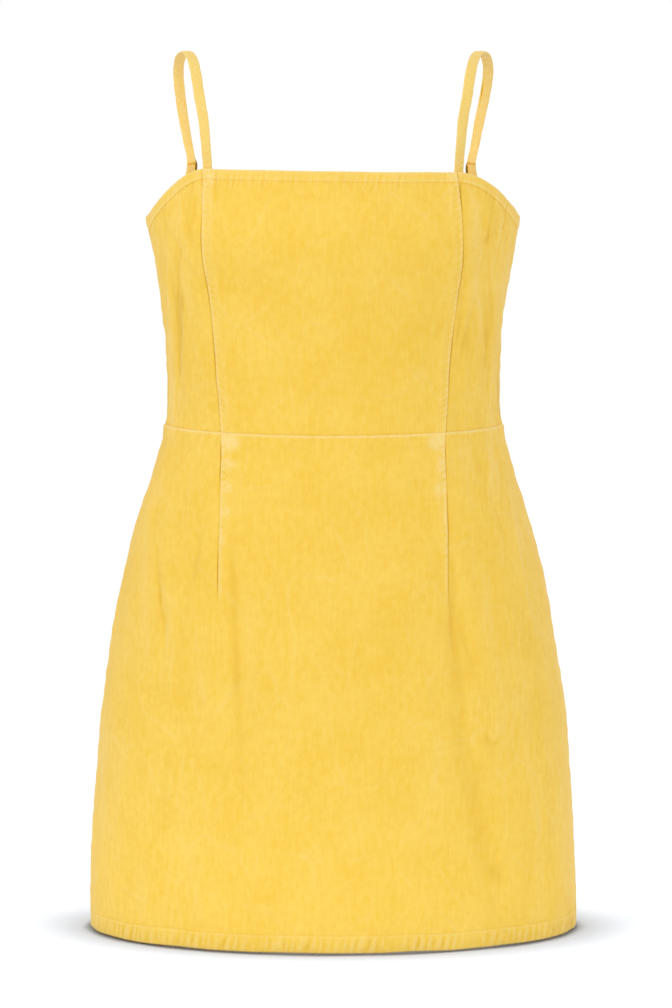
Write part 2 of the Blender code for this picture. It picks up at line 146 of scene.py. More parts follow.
# Grid: rows as shares of the turned edge, then as distances from a seam, the turned edge or the hem.
TURN_SHARES = (0.0, 0.025, 0.07, 0.14, 0.24, 0.38, 0.54, 0.70, 0.80, 0.87, 0.93, 0.97)
TURN_STEPS = tuple(step * MM for step in (0.0, 0.4, 1.0, 2.0, 3.4, 5.4, 8.0))
SEAM_STEPS = tuple(step * MM for step in (0.0, 0.35, 0.8, 1.4, 2.2, 3.2, 4.6, 6.4, 8.4, 10.2, 12.0))
HEM_STEPS = tuple(step * MM for step in (0.0, 0.25, 0.7, 1.4, 2.4, 3.8, 5.4, 7.2, 9.0, 10.8, 12.4, 13.6,
                                         14.5, 15.2, 15.9, 16.6, 17.8, 19.6))
BODICE_LENGTH = 0.205
BODICE_ROW = 1.8 * MM
SKIRT_ROW = 3.0 * MM
BODICE_COLUMN = 1.2 * MM
SKIRT_COLUMN = 1.8 * MM
CORNER_COLUMN = 0.6 * MM
CORNER_MARGIN = (math.radians(3.6), math.radians(7.0))  # outside and inside a back corner

# A crease runs through three places of a face, each with its distance from the centre line and its
# height. Its half-width and its lift follow, all in millimetres. SOFT is a rounded fold, PINCH has a
# narrow crest, and LEAN rises on one side and drops on the other.
SOFT, PINCH, LEAN = "soft", "pinch", "lean"
Crease = namedtuple("Crease", "face start middle end half_width depth shape")
CREASE_ROWS = {
    FRONT: (
        # bodice front, wearer's right, then left, then centre
        (-130, -140, -131, -168, -130.5, -200, 4.2, -1.2, SOFT),
        (-130.5, -196, -131, -243, -130.5, -292, 5.2, -1.6, SOFT),
        (-140, -150, -139, -195, -139, -270, 4.4, 1, SOFT),
        (-148, -138, -134, -156, -118, -188, 3, -1, PINCH),
        (-118, -186, -112, -214, -108, -246, 5, 0.7, SOFT),
        (-132, -272, -120, -290, -108, -308, 2.8, 0.7, PINCH),
        (120, -172, 113, -215, 106, -258, 5.8, 1.8, SOFT),
        (132, -205, 129, -245, 131, -295, 7.5, -1.2, SOFT),
        (121.5, -198, 110.5, -240, 102, -282, 2.6, -1.2, PINCH),
        (112, -164, 107.2, -215, 103, -268, 2.2, -1, PINCH),
        (102.5, -288, 105, -301, 106, -311, 2.8, -1, PINCH),
        (147, -143, 147, -155, 145, -168, 3, -1.1, PINCH),
        (154, -139, 134, -152, 113, -166, 2.4, -0.8, PINCH),
        (140, -182, 136, -200, 137, -222, 3, 0.7, PINCH),
        (57, -257, 68, -267, 77, -281, 2.6, 0.8, PINCH),
        (70, -246, 80, -262, 90, -286, 4, -0.5, SOFT),
        (-99.3, -76, -99, -106, -97.5, -136, 1.3, -1.3, PINCH),
        (-88, -132, -56, -205, -34, -286, 4.2, -0.4, SOFT),
        (-12, -118, 20, -150, 48, -172, 6, 0.4, SOFT),
        (-6, -302, 0, -308, 8, -301, 3, 0.5, PINCH),
        # skirt front, wearer's right
        (-86.5, -385, -82.5, -480, -73.5, -680, 5, -1.4, SOFT),
        (-73, -420, -69.5, -500, -65, -590, 7.5, 0.9, SOFT),
        (-107, -392, -119, -450, -127, -520, 9, -0.6, SOFT),
        (-149, -412, -146.2, -458, -140, -506, 3.4, -1.5, PINCH),
        (-142, -430, -139.2, -462, -135.2, -494, 4, 1, SOFT),
        (-112, -372, -115.5, -424, -125, -460, 3.6, -0.7, PINCH),
        (-131, -550, -125.5, -561, -118.5, -574, 2.6, 0.8, PINCH),
        (-132.5, -624, -128, -636, -122, -649, 2.6, 0.8, PINCH),
        (-91.5, -612, -98.5, -639, -103.5, -671, 2.8, 0.7, PINCH),
        (-119, -716, -70, -711, -23, -714.5, 2.2, 0.6, PINCH),
        (-79, -698.5, -71.5, -697, -64, -699, 2.2, 0.5, PINCH),
        (-156, -540, -162, -620, -159, -700, 15, -0.5, SOFT),
        # skirt front, centre
        (-28, -584, -27, -599, -27.8, -614, 2.8, -0.6, PINCH),
        (-2, -652, -18, -662, -30, -678, 2.8, 0.7, PINCH),
        (18, -560, 30, -650, 34, -735, 20, -0.4, SOFT),
        (42, -719, 51, -719.2, 60, -719.5, 2.2, 0.6, PINCH),
        # skirt front, wearer's left
        (100, -380, 123, -480, 156, -566, 10, 1.3, SOFT),
        (99.5, -386, 101, -450, 106, -530, 5.6, -1.1, SOFT),
        (99, -430, 116, -600, 153, -775, 12.5, -2.7, SOFT),
        (99, -452, 100.6, -475, 101.4, -499, 1.8, -1.2, PINCH),
        (103, -456, 115, -502, 134.5, -560, 2.2, -0.8, PINCH),
        (126.5, -561, 135.3, -574, 144.5, -563, 4.8, 1.4, LEAN),
        (132, -676, 138.5, -689, 146.5, -695, 5, -1, SOFT),
        (150, -376, 161.5, -445, 173.5, -512, 3.4, 1, PINCH),
        (128, -350, 141, -393, 148, -428, 4, -0.8, PINCH),
        (149, -542, 156, -550, 163, -562, 2.6, 0.8, PINCH),
        (177, -576, 179, -589, 180.5, -604, 2.8, 0.6, PINCH),
        (168, -600, 174, -660, 172, -722, 13, -0.8, SOFT),
    ),
    BACK: (
        # bodice back
        (86, -232, 79, -272, 70, -312, 8, -1.7, SOFT),
        (-90, -244, -84, -280, -80, -312, 7, -1.2, SOFT),
        (124, -200, 118, -244, 122, -292, 6, 1, SOFT),
        (-126, -190, -122, -236, -124, -300, 6.5, -1.2, SOFT),
        (-106, -142, -82, -158, -56, -163, 5.5, -0.8, SOFT),
        (104, -138, 78, -150, 52, -158, 5, -0.8, SOFT),
        (30, -282, 44, -296, 62, -304, 2.8, 0.8, PINCH),
        (-24, -262, -40, -280, -60, -287, 3, -0.8, PINCH),
        (130, -146, 124, -162, 112, -176, 3.4, -0.9, PINCH),
        # skirt back
        (56, -392, 62, -520, 73, -690, 13, -2.4, SOFT),
        (76, -430, 85, -520, 96, -600, 11, 1.4, SOFT),
        (-62, -405, -60, -510, -55, -650, 12, -2.1, SOFT),
        (-104, -412, -123, -530, -141, -660, 14, 2.3, SOFT),
        (-96, -452, -110, -512, -120, -556, 3.2, -1.3, PINCH),
        (148, -396, 150, -450, 145, -506, 4.4, -1.3, LEAN),
        (118, -366, 126, -412, 132, -452, 3.6, 0.8, PINCH),
        (-148, -372, -156, -436, -166, -500, 3.8, 1, PINCH),
        (30, -590, 24, -612, 16, -640, 2.8, 0.7, PINCH),
        (126, -596, 120, -620, 116, -650, 2.8, 0.7, PINCH),
        (-82, -664, -94, -674, -108, -678, 2.8, 0.7, PINCH),
        (-30, -716, -64, -712, -100, -717, 2.2, 0.6, PINCH),
        (156, -560, 164, -640, 160, -720, 15, -1.3, SOFT),
        (-24, -480, -30, -600, -20, -730, 20, -0.9, SOFT),
    ),
}
CREASES = [Crease(face, *np.reshape(row[:6], (3, 2)) * MM, row[6] * MM, row[7] * MM, row[8])
           for face, rows in CREASE_ROWS.items() for row in rows]

# Places where the pile is rubbed over a thick layer: on the centre side of a dart or at a strap's foot.
# Distance from the centre line, height, half-width and half-height in millimetres, then strength.
Rub = namedtuple("Rub", "across height half_width half_height strength")
RUB_ROWS = {
    FRONT: (
        (-86.5, -324.5, 8.8, 6.8, 1.10),
        (-87.5, -343, 8, 3.5, 0.75),
        (-88.5, -362.5, 5, 5, 0.60),
        (-90.5, -382.5, 4.5, 5, 0.55),
        (-93, -406, 2.5, 6, 0.45),
        (86.8, -324, 8.8, 6.4, 1.10),
        (90.5, -344, 4, 7, 0.60),
        (89, -364.5, 6, 5.5, 0.60),
        (93.5, -386, 2.5, 6, 0.35),
        (-101.5, -103, 6, 6, 0.55),
        (102, -101.5, 6.5, 3.5, 0.60),
    ),
    BACK: (
        (74, -324, 7, 5, 0.28),
        (-66, -325, 8, 5, 0.30),
        (7, -325, 7, 6, 0.42),
        (-6.5, -326, 6, 6, 0.38),
    ),
}
RUBS = {face: [Rub(*(number * MM for number in row[:4]), row[4]) for row in rows]
        for face, rows in RUB_ROWS.items()}


# ---- Small mathematics
def smooth_step(share):
    """Ease from 0 to 1 with no corner at either end."""
    share = np.clip(share, 0.0, 1.0)
    return share * share * (3.0 - 2.0 * share)


def bump(distance, half_width):
    """A soft hill, 1 in the middle."""
    return np.exp(-(distance / half_width) ** 2)


def rise(distance, start, reach):
    """Ease from 0 to 1 over a reach from a start, both in millimetres."""
    return smooth_step((distance / MM - start) / reach)


def hill(distance, middle, half_width):
    """A soft hill, placed and sized in millimetres."""
    return bump(distance / MM - middle, half_width)


def fade(distance, reach):
    """Falls away from 1 on both sides of a line, by a reach in millimetres."""
    return np.exp(-np.abs(distance) / (reach * MM))


def unit(vectors):
    """Vectors of length 1."""
    return vectors / np.linalg.norm(vectors, axis=-1, keepdims=True)


def running_length(points):
    """Length from the start of a line of points to each of them."""
    return np.concatenate([[0.0], np.cumsum(np.linalg.norm(points[1:] - points[:-1], axis=1))])


def add_waves(seed, shortest, longest, count, project):
    """Smooth uneven relief, about -1 to 1: waves of several lengths, each along its own projection."""
    draw = random.Random(seed)
    total = 0.0
    for _ in range(count):
        length = shortest * (longest / shortest) ** draw.random()
        total = total + np.sin(math.tau * project(draw) / length + draw.uniform(0.0, math.tau))
    return total / math.sqrt(2.0 * count)


def ripple(seed, along, shortest, longest, count=5):
    """Uneven relief along one line."""
    return add_waves(seed, shortest, longest, count, lambda draw: along)


def waves(seed, along, across, shortest, longest, count):
    """Uneven relief over a surface."""
    def project(draw):
        turn = draw.uniform(0.0, math.pi)
        return along * math.cos(turn) + across * math.sin(turn)
    return add_waves(seed, shortest, longest, count, project)


def solid_waves(seed, points, shortest, longest, count=9):
    """Uneven relief in space, twice as strong, so it runs on over every seam."""
    def project(draw):
        turn, tilt = draw.uniform(0.0, math.tau), draw.uniform(-0.9, 0.9)
        level = math.cos(tilt)
        return points @ np.array((math.cos(turn) * level, math.sin(turn) * level, math.sin(tilt)))
    return 2.0 * add_waves(seed, shortest, longest, count, project)


def read_table(rows, column, height):
    """One column of a table at a height, on a smooth curve through the rows, which run from the top down."""
    heights = np.array([row.height for row in rows])
    values = np.array([getattr(row, column) for row in rows])
    inner = (values[2:] - values[:-2]) / (heights[2:] - heights[:-2])
    ends = (values[[1, -1]] - values[[0, -2]]) / (heights[[1, -1]] - heights[[0, -2]])
    slopes = np.concatenate([ends[:1], inner, ends[1:]])
    height = np.clip(height, heights[-1], heights[0])
    index = np.clip(np.searchsorted(-heights, -height, side="right") - 1, 0, len(rows) - 2)
    span = heights[index + 1] - heights[index]
    share = (height - heights[index]) / span
    turn = share * share * (3.0 - 2.0 * share)
    leave = share * (1.0 - share) ** 2 * span * slopes[index]
    arrive = -share * share * (1.0 - share) * span * slopes[index + 1]
    return values[index] * (1.0 - turn) + values[index + 1] * turn + leave + arrive


# ---- The form
def form_point(face, angle, height):
    """Points on the smooth form. The angle is 0 at the left side seam and -90 degrees at the centre front."""
    half = "front" if face == FRONT else "back"
    depth = read_table(SECTIONS, half, height)
    shape = read_table(SECTIONS, half + "_shape", height)
    across = read_table(SECTIONS, "half_width", height) * np.cos(angle)
    sine = np.sin(angle)
    return np.stack([across, np.sign(sine) * depth * np.abs(sine) ** shape, height], axis=-1)


def form_normal(face, angle, height):
    """The form's outward direction at those points."""
    turn, step = math.radians(1.5), 2.0 * MM
    along = form_point(face, angle + turn, height) - form_point(face, angle - turn, height)
    up = form_point(face, angle, height + step) - form_point(face, angle, height - step)
    return unit(np.cross(along, up))


def angle_across(face, across, height):
    """The angle on one face of the form at a distance from its centre line."""
    half_width = read_table(SECTIONS, "half_width", height)
    return face * np.arccos(np.clip(across / half_width, -1.0, 1.0))


# ---- Seams and edges, each an angle or a height
def upright(turn):
    """A line at one angle."""
    return lambda height: np.full_like(height, turn)


def side_seam(side, face):
    """A side seam. The right one is half a turn away, either way round."""
    return upright(0.0 if side == LEFT else face * math.pi)


def line_on(face, table, side):
    """A seam's angle, from a table of distances from the centre line."""
    return lambda height: angle_across(face, side * read_table(table, "across", height), height)


BACK_SEAM = upright(0.5 * math.pi)


def off_side(angle):
    """How far round from the nearer side seam an angle is, 0 to 90 degrees."""
    return np.arcsin(np.minimum(np.abs(np.sin(angle)), 1.0))


def front_top(angle):
    """Height of the front's top edge: straight neckline, then down into the armholes."""
    start = off_side(angle_across(FRONT, ARMHOLE_X, np.float64(NECKLINE)))
    share = smooth_step(off_side(angle) / start)
    return UNDERARM + (NECKLINE - UNDERARM) * share + NECK_TILT * np.cos(angle) * share


def corner_turns(side):
    """How far round from the side seam the outer and inner edges of a back corner are."""
    corner = np.float64(BACK_CORNER)
    return [off_side(angle_across(BACK, BACK_CORNER_X[side] + half, corner))
            for half in (0.5 * CORNER_WIDTH, -0.5 * CORNER_WIDTH)]


def back_top(angle, tip=1.0):
    """Height of the back's top edge, dipped between its corners. A tip of 0 leaves the corners' tips out."""
    left = np.cos(angle) >= 0.0
    outer, inner = (np.where(left, *pair) for pair in zip(corner_turns(LEFT), corner_turns(RIGHT)))
    turn = off_side(angle)
    outside, beyond = np.degrees(turn - outer), np.degrees(turn - inner)
    armhole = UNDERARM + (BACK_CORNER_FOOT - UNDERARM) * np.minimum(turn / outer, 1.0) ** 2
    armhole += tip * (BACK_CORNER - BACK_CORNER_FOOT) * np.exp(np.minimum(outside, 0.0) / CORNER_OUTER_FADE)
    away = np.maximum(beyond, 0.0)
    tip_height = BACK_CORNER - BACK_NECKLINE - NECKLINE_RISE
    neckline = BACK_NECKLINE + NECKLINE_RISE * np.exp(-away / NECKLINE_FADE)
    neckline += tip * tip_height * np.exp(-away / CORNER_INNER_FADE)
    share = np.clip((turn - outer) / (inner - outer), 0.0, 1.0)
    return armhole * (1.0 - share) + neckline * share


def front_turn(angle):
    """Height where the front's turned edge ends."""
    start = off_side(angle_across(FRONT, ARMHOLE_X, np.float64(NECKLINE)))
    share = np.clip(off_side(angle) / start, 0.0, 1.0)
    return front_top(angle) - TURN_DEPTH * (1.0 + ARMHOLE_TURN * np.sin(math.pi * np.sqrt(share)))


def back_turn(angle):
    """Height where the back's turned edge ends, level under the corners' tips."""
    return back_top(angle, tip=0.0) - TURN_DEPTH


def waist_seam(angle):
    """Height of the waist seam, a little lower at the centre front."""
    return WAIST_SIDE - WAIST_DIP * np.maximum(-np.sin(angle), 0.0) ** 2


TOP_EDGES = {FRONT: (front_top, front_turn), BACK: (back_top, back_turn)}


def upper_edge(face, angle, turned=False):
    """Height of the top edge as it is worn, or of where its turned part ends."""
    wander = EDGE_WANDER * ripple(EDGE_SEED, 0.15 * np.cos(angle), 0.035, 0.110)
    return TOP_EDGES[face][turned](angle) + wander


def lower_edge(angle):
    """Height of the hem's edge as it hangs."""
    return HEM + HEM_WANDER * ripple(HEM_SEED, 0.2 * np.cos(angle), 0.04, 0.14)


# ---- Distances round the form
ARC_HEIGHTS = np.linspace(-0.0900, -0.7520, 663)
ARC_TURNS = np.linspace(0.0, 0.5 * math.pi, 361)


def arc_table(face):
    """Distance round the form from a face's centre line, for each height and turn."""
    heights, turns = np.meshgrid(ARC_HEIGHTS, ARC_TURNS, indexing="ij")
    points = form_point(face, face * (0.5 * math.pi - turns), heights)
    steps = np.linalg.norm(points[:, 1:] - points[:, :-1], axis=-1)
    return np.concatenate([np.zeros((len(ARC_HEIGHTS), 1)), np.cumsum(steps, axis=1)], axis=1)


ARCS = {face: arc_table(face) for face in (FRONT, BACK)}


def round_distance(face, angle, height):
    """Distance round the form from the face's centre line, positive towards the wearer's left."""
    angle, height = np.broadcast_arrays(angle, height)
    turn = np.clip(np.abs(np.abs(angle) - 0.5 * math.pi), 0.0, 0.5 * math.pi)
    row = (ARC_HEIGHTS[0] - height) / (ARC_HEIGHTS[0] - ARC_HEIGHTS[1])
    row = np.clip(row, 0.0, len(ARC_HEIGHTS) - 1.001)
    column = np.clip(turn / (ARC_TURNS[1] - ARC_TURNS[0]), 0.0, len(ARC_TURNS) - 1.001)
    low, left = row.astype(int), column.astype(int)
    down, over = row - low, column - left
    table = ARCS[face]
    upper = table[low, left] * (1.0 - over) + table[low, left + 1] * over
    lower = table[low + 1, left] * (1.0 - over) + table[low + 1, left + 1] * over
    distance = upper * (1.0 - down) + lower * down
    return np.where(np.cos(angle) >= 0.0, distance, -distance)


def half_round(face, height):
    """Distance round one half of a face, from its centre line to a side seam."""
    return np.abs(round_distance(face, np.zeros_like(height), height))


# ---- Creases
CREASE_PIECES = 12
PINCH_LIFT = 1.20        # how much higher a pinched crease is drawn up than a soft one
# Crease shading is painted into the colour: a painted highlight on each crest and painted shade in each
# trough.
CREASE_PAINTED_SHADING = {FRONT: 0.27, BACK: 0.22}  # how much paler a crest is, and how much deeper a trough
TONE_DEPTH = 1.6 * MM    # a crease this deep and no wider than TONE_WIDTH has all of that change
TONE_WIDTH = 5.8 * MM


def crease_places(crease):
    """Points along a crease as distances round the form and heights, on a curve through its three places."""
    shares = np.linspace(0.0, 1.0, CREASE_PIECES + 1)[:, None]
    start, middle, end = (np.array(place) for place in (crease.start, crease.middle, crease.end))
    route = (1.0 - shares) * (1.0 - 2.0 * shares) * start + 4.0 * shares * (1.0 - shares) * middle
    route = route + shares * (2.0 * shares - 1.0) * end
    across, height = route[:, 0], route[:, 1]
    round_at = round_distance(crease.face, angle_across(crease.face, across, height), height)
    return np.stack([round_at, height], axis=-1)


def crease_shape(crease, side, seed, along):
    """Lift across a crease, from the signed distance off its line."""
    width = crease.half_width * (1.0 + 0.18 * ripple(seed, along, 0.03, 0.09))
    if crease.shape == PINCH:
        return PINCH_LIFT * np.exp(-(np.abs(side) / width) ** 1.35)
    return bump(side, width) * (1.65 * side / width if crease.shape == LEAN else 1.0)


def nearest_on(route, place):
    """For each place, the signed distance off a route of short pieces and the share of the way along it."""
    best = np.full(len(place), np.inf)
    side, share = np.zeros(len(place)), np.zeros(len(place))
    for index in range(CREASE_PIECES):
        start, piece = route[index], route[index + 1] - route[index]
        offset = place - start
        part = np.clip(offset @ piece / (piece @ piece), 0.0, 1.0)
        away = offset - part[:, None] * piece
        distance = np.hypot(away[:, 0], away[:, 1])
        closer = distance < best
        best = np.where(closer, distance, best)
        cross = piece[0] * offset[:, 1] - piece[1] * offset[:, 0]
        side = np.where(closer, np.copysign(distance, cross), side)
        share = np.where(closer, (index + part) / CREASE_PIECES, share)
    return side, share


def crease_relief(face, round_at, height):
    """How far all the creases of a face lift each place, and the painted highlight and painted shade they
    give it.
    """
    lift, tone = np.zeros_like(height), np.zeros_like(height)
    for number, crease in enumerate(CREASES):
        if crease.face != face:
            continue
        route = crease_places(crease)
        reach = 3.0 * crease.half_width
        low, high = route.min(axis=0) - reach, route.max(axis=0) + reach
        near = (round_at > low[0]) & (round_at < high[0]) & (height > low[1]) & (height < high[1])
        if not near.any():
            continue
        side, share = nearest_on(route, np.stack([round_at[near], height[near]], axis=-1))
        along = share * np.linalg.norm(route[-1] - route[0])
        uneven = 1.0 + 0.22 * ripple(number, along, 0.02, 0.08)
        change = crease.depth * np.sin(math.pi * share) * uneven * crease_shape(crease, side, number, along)
        lift[near] += change
        if crease.shape == PINCH:
            change = change / PINCH_LIFT
        # painted shade in a trough and a painted highlight on a crest, by the crease's depth and narrowness
        tone[near] += change / TONE_DEPTH * min(1.0, TONE_WIDTH / crease.half_width)
    return lift, np.clip(tone, -1.0, 1.0)


# ---- Relief of the cloth
Place = namedtuple("Place", "face angle height base round_at off_centre to_side under skirt")
THICKEST = 3.6 * MM


def ditch(distance):
    """The narrow groove of a seam."""
    return -0.62 * MM * hill(distance, 0.0, 0.62)


def flap(distance, width, lift):
    """An allowance showing through the cloth on the positive side of its seam, crisp beside the seam."""
    band = rise(distance, 0.0, 1.7) * (1.0 - rise(distance - width, -1.6, 3.0))
    return lift * band + 0.30 * MM * hill(distance, 1.5, 1.1)


def behind(distance, width):
    """Where an allowance lies behind the cloth, 0 to 1."""
    return rise(distance, -0.5, 0.8) * (1.0 - rise(distance - width, 0.0, 0.9))


def round_off(distance):
    """How far the cloth draws back towards its middle near a turned edge."""
    half = 0.5 * TURNED
    depth = np.clip(half - distance, 0.0, half)
    return half - np.sqrt(np.maximum(half * half - depth * depth, 0.0))


def edge_distance(face, angle, height, round_at):
    """Distance from the top edge, measured square to it."""
    step = math.radians(0.15)
    up = upper_edge(face, angle + step) - upper_edge(face, angle - step)
    run = np.abs(round_distance(face, angle + step, height) - round_distance(face, angle - step, height))
    slope = up / np.maximum(run, 1e-5)
    return (upper_edge(face, angle) - height) / np.sqrt(1.0 + slope * slope)


def seam_distance(table, height):
    """Distance round the front from its centre line to a seam, at each height."""
    return round_distance(FRONT, angle_across(FRONT, read_table(table, "across", height), height), height)


def rubbed(face, round_at, height):
    """Where the pile is rubbed, 0 to 1."""
    total = np.zeros_like(height)
    for rub in RUBS[face]:
        spot = np.array(rub.height)
        middle = round_distance(face, angle_across(face, rub.across, spot), spot)
        away = ((round_at - middle) / rub.half_width) ** 2 + ((height - rub.height) / rub.half_height) ** 2
        total += rub.strength * np.exp(-away ** 1.6)
    return total


class Relief:
    """What moves the cloth off the smooth form: its broad shape, the skin of its right side, its thickness
    and the rounding of its edges. Crests are rubbed pale and get a painted highlight, folds and seam
    grooves get painted shade, and tone is the painted shade and highlight along creases."""

    def __init__(self, at):
        self.at = at
        self.shape, self.skin, self.rounding = (np.zeros_like(at.height) for _ in range(3))
        # crest is rubbed pale pile plus a painted highlight on ridges and ledges; fold is painted shade in
        # grooves and hollows
        self.crest, self.fold = (np.zeros_like(at.height) for _ in range(2))
        self.thickness = np.full_like(at.height, CLOTH)
        self.crease()
        self.wrinkle_sides()
        self.join_waist()
        self.press_open(at.to_side, ALLOWANCE, 0.24 * MM, 0.40,
                        0.30 * MM * ripple(SIDE_SEED, at.height, 0.010, 0.034) * fade(at.to_side, 12.0))
        if at.face == FRONT:
            self.join_front()
        else:
            self.press_open(at.off_centre, 1.15 * ALLOWANCE, 0.30 * MM, 0.45,
                            0.22 * MM * ripple(63, at.height, 0.010, 0.030) * fade(at.off_centre, 9.0))
        self.turn_top()
        self.turn_hem()
        self.thickness = np.minimum(self.thickness, THICKEST)
        rubs = rubbed(at.face, at.round_at, at.height)
        # wear and painted light together: rubbed places, painted highlight on crests, painted shade in folds,
        # and painted crease shading
        self.wear_and_painted_shading = np.clip(self.crest + rubs, 0.0, 1.2) - self.fold + CREASE_PAINTED_SHADING[at.face] * self.tone

    def crease(self):
        """Soft sag, less on the smooth front of the bodice, and creases with their painted shade and
        highlight.
        """
        at = self.at
        calm = 1.0 - 0.55 * (~at.skirt if at.face == FRONT else 0.0) * hill(at.round_at, 0.0, 80.0)
        sag = 0.55 * solid_waves(5, at.base, 0.060, 0.130) + 0.16 * solid_waves(6, at.base, 0.020, 0.045)
        creased, self.tone = crease_relief(at.face, at.round_at, at.height)
        self.shape += MM * sag * calm + creased

    def wrinkle_sides(self):
        """Short upright wrinkles where the cloth is drawn round the sides, with painted highlight and shade
        on them.
        """
        at = self.at
        drawn = rise(at.off_centre, 85.0, 45.0) * (0.35 + 0.65 * hill(at.height, -220.0, 110.0))
        drawn = drawn * (0.65 + 0.35 * solid_waves(9, at.base, 0.050, 0.120))
        fine = waves(7 + at.face, at.round_at, 0.24 * at.height, 0.0050, 0.0110, 9)
        broad = waves(17 + at.face, at.round_at, 0.07 * at.height, 0.0100, 0.0240, 7)
        self.shape += MM * drawn * (0.28 * fine + 0.20 * broad)
        drawn = drawn * (0.60 * fine + 1.30 * broad)
        # painted highlight on the wrinkles' ridges and painted shade in their hollows
        self.tone = np.clip(self.tone + np.where(drawn > 0.0, 1.9, 0.90) * drawn, -1.1, 1.8)

    def join_waist(self):
        """The waist seam, with both allowances down behind the skirt."""
        under = self.at.under
        pucker = solid_waves(WAIST_SEED, self.at.base, 0.009, 0.021)
        self.skin += 0.25 * ditch(under) + flap(under, ALLOWANCE, 0.42 * MM)
        self.skin += MM * (0.42 * rise(under, -0.2, 1.2) * (1.0 - rise(under, 4.0, 14.0))
                           + 0.24 * pucker * fade(under, 7.0))
        self.thickness += ALLOWANCE_CLOTH * behind(under, ALLOWANCE)
        # rubbed pale line below the seam, with a painted highlight where the skirt's ledge faces the light
        self.crest += (1.05 + 0.25 * ripple(24, self.at.round_at, 0.012, 0.060)) * hill(under, 1.1, 1.10)
        # painted shade in the groove just above the waist seam
        self.fold += 0.22 * hill(under, -0.9, 0.60)

    def press_open(self, away, width, lift, fold, pucker):
        """A seam whose allowances are pressed open, from the distance to it."""
        self.skin += ditch(away) + flap(away, width, lift) + pucker
        self.thickness += ALLOWANCE_CLOTH * behind(away, width)
        # painted shade in the seam's groove
        self.fold += fold * hill(away, 0.0, 0.55)

    def join_front(self):
        """Princess seams and, below the waist, darts: their allowances lie towards the centre."""
        at, height, left = self.at, self.at.height, self.at.round_at > 0.0
        seam = np.where(left, *(seam_distance(PRINCESS_SEAM[side], height) for side in (LEFT, RIGHT)))
        inside = np.where(at.skirt, seam_distance(SKIRT_DART, height), seam) - at.off_centre
        strength = np.where(at.skirt, rise(height - DART_TIP, 0.0, 30.0), 1.0)
        width = ALLOWANCE * np.where(at.skirt, 0.30 + 0.70 * rise(height - DART_TIP, 0.0, 140.0), 1.0)
        pucker = np.where(left, *(ripple(seed, height, 0.008, 0.030) for seed in (52, 57)))
        tight = np.where(left, *(ripple(seed, height, 0.045, 0.140) for seed in (54, 58)))
        tight = np.clip(0.80 + 0.45 * tight, 0.25, 1.25) * strength
        phase = math.tau * (height + 0.55 * inside) / (5.6 * MM) + 2.2 * ripple(91, height, 0.02, 0.07)
        rope = np.sin(phase) * (0.7 + 0.5 * ripple(92, height, 0.03, 0.09)) * strength
        rope = rope * rise(inside, 0.0, 1.2) * (1.0 - smooth_step((inside - 0.3 * width) / (0.6 * width)))
        layers = strength * behind(inside, width)
        self.skin += tight * ditch(inside) + strength * flap(inside, width, 0.55 * MM)
        self.skin += MM * (0.32 * strength * pucker * fade(inside, 7.0) + 0.42 * rope)
        self.thickness += ALLOWANCE_CLOTH * layers
        # the rubbed ridge beside the seam, with a painted highlight on the rope crests
        self.crest += 0.70 * strength * hill(inside, 1.7, 1.1) + 0.44 * np.maximum(rope, 0.0) + 0.16 * layers
        # painted shade in the rope hollows and in the seam's groove
        self.fold += 0.40 * np.maximum(-rope, 0.0) + 0.66 * tight * hill(inside, -0.2, 0.60)

    def turn_top(self):
        """The turned top edge, eased over its stitching and pulled hardest round the armholes."""
        at = self.at
        from_edge = edge_distance(at.face, at.angle, at.height, at.round_at)
        over_turn = at.height - upper_edge(at.face, at.angle, turned=True)
        from_stitch = over_turn - (TURN_DEPTH - TURN_STITCH)
        ease = ripple(71, at.round_at - 0.2 * over_turn, 0.0042, 0.0095, 7)
        ease = ease * hill(from_stitch, 1.0, 8.0) * rise(at.to_side, 0.0, 4.0)
        armhole, turned = rise(at.off_centre, 100.0, 30.0), rise(over_turn, -0.5, 1.0)
        pulled = 0.20 + 0.45 * armhole
        top = ~at.skirt & (over_turn > -0.02)
        self.skin += top * MM * (0.45 * rise(from_stitch, -1.2, 1.8) + 0.30 * ease
                                 - (0.34 + 0.36 * armhole) * hill(from_stitch, 0.0, 0.85))
        self.thickness += top * turned * (TURNED - self.thickness)
        self.rounding += top * round_off(from_edge)
        # the rubbed edge and turned band, with a painted highlight on the puckers and on the ridge beside the
        # stitching
        self.crest += top * (0.68 * hill(from_edge, 0.0, 1.9) + 0.34 * np.maximum(ease, 0.0) + 0.20 * turned
                             + pulled * hill(from_stitch, 1.6, 0.9))
        # painted shade in the stitching's groove and between the puckers
        self.fold += top * (pulled * hill(from_stitch, 0.0, 0.70) + 0.26 * np.maximum(-ease, 0.0))

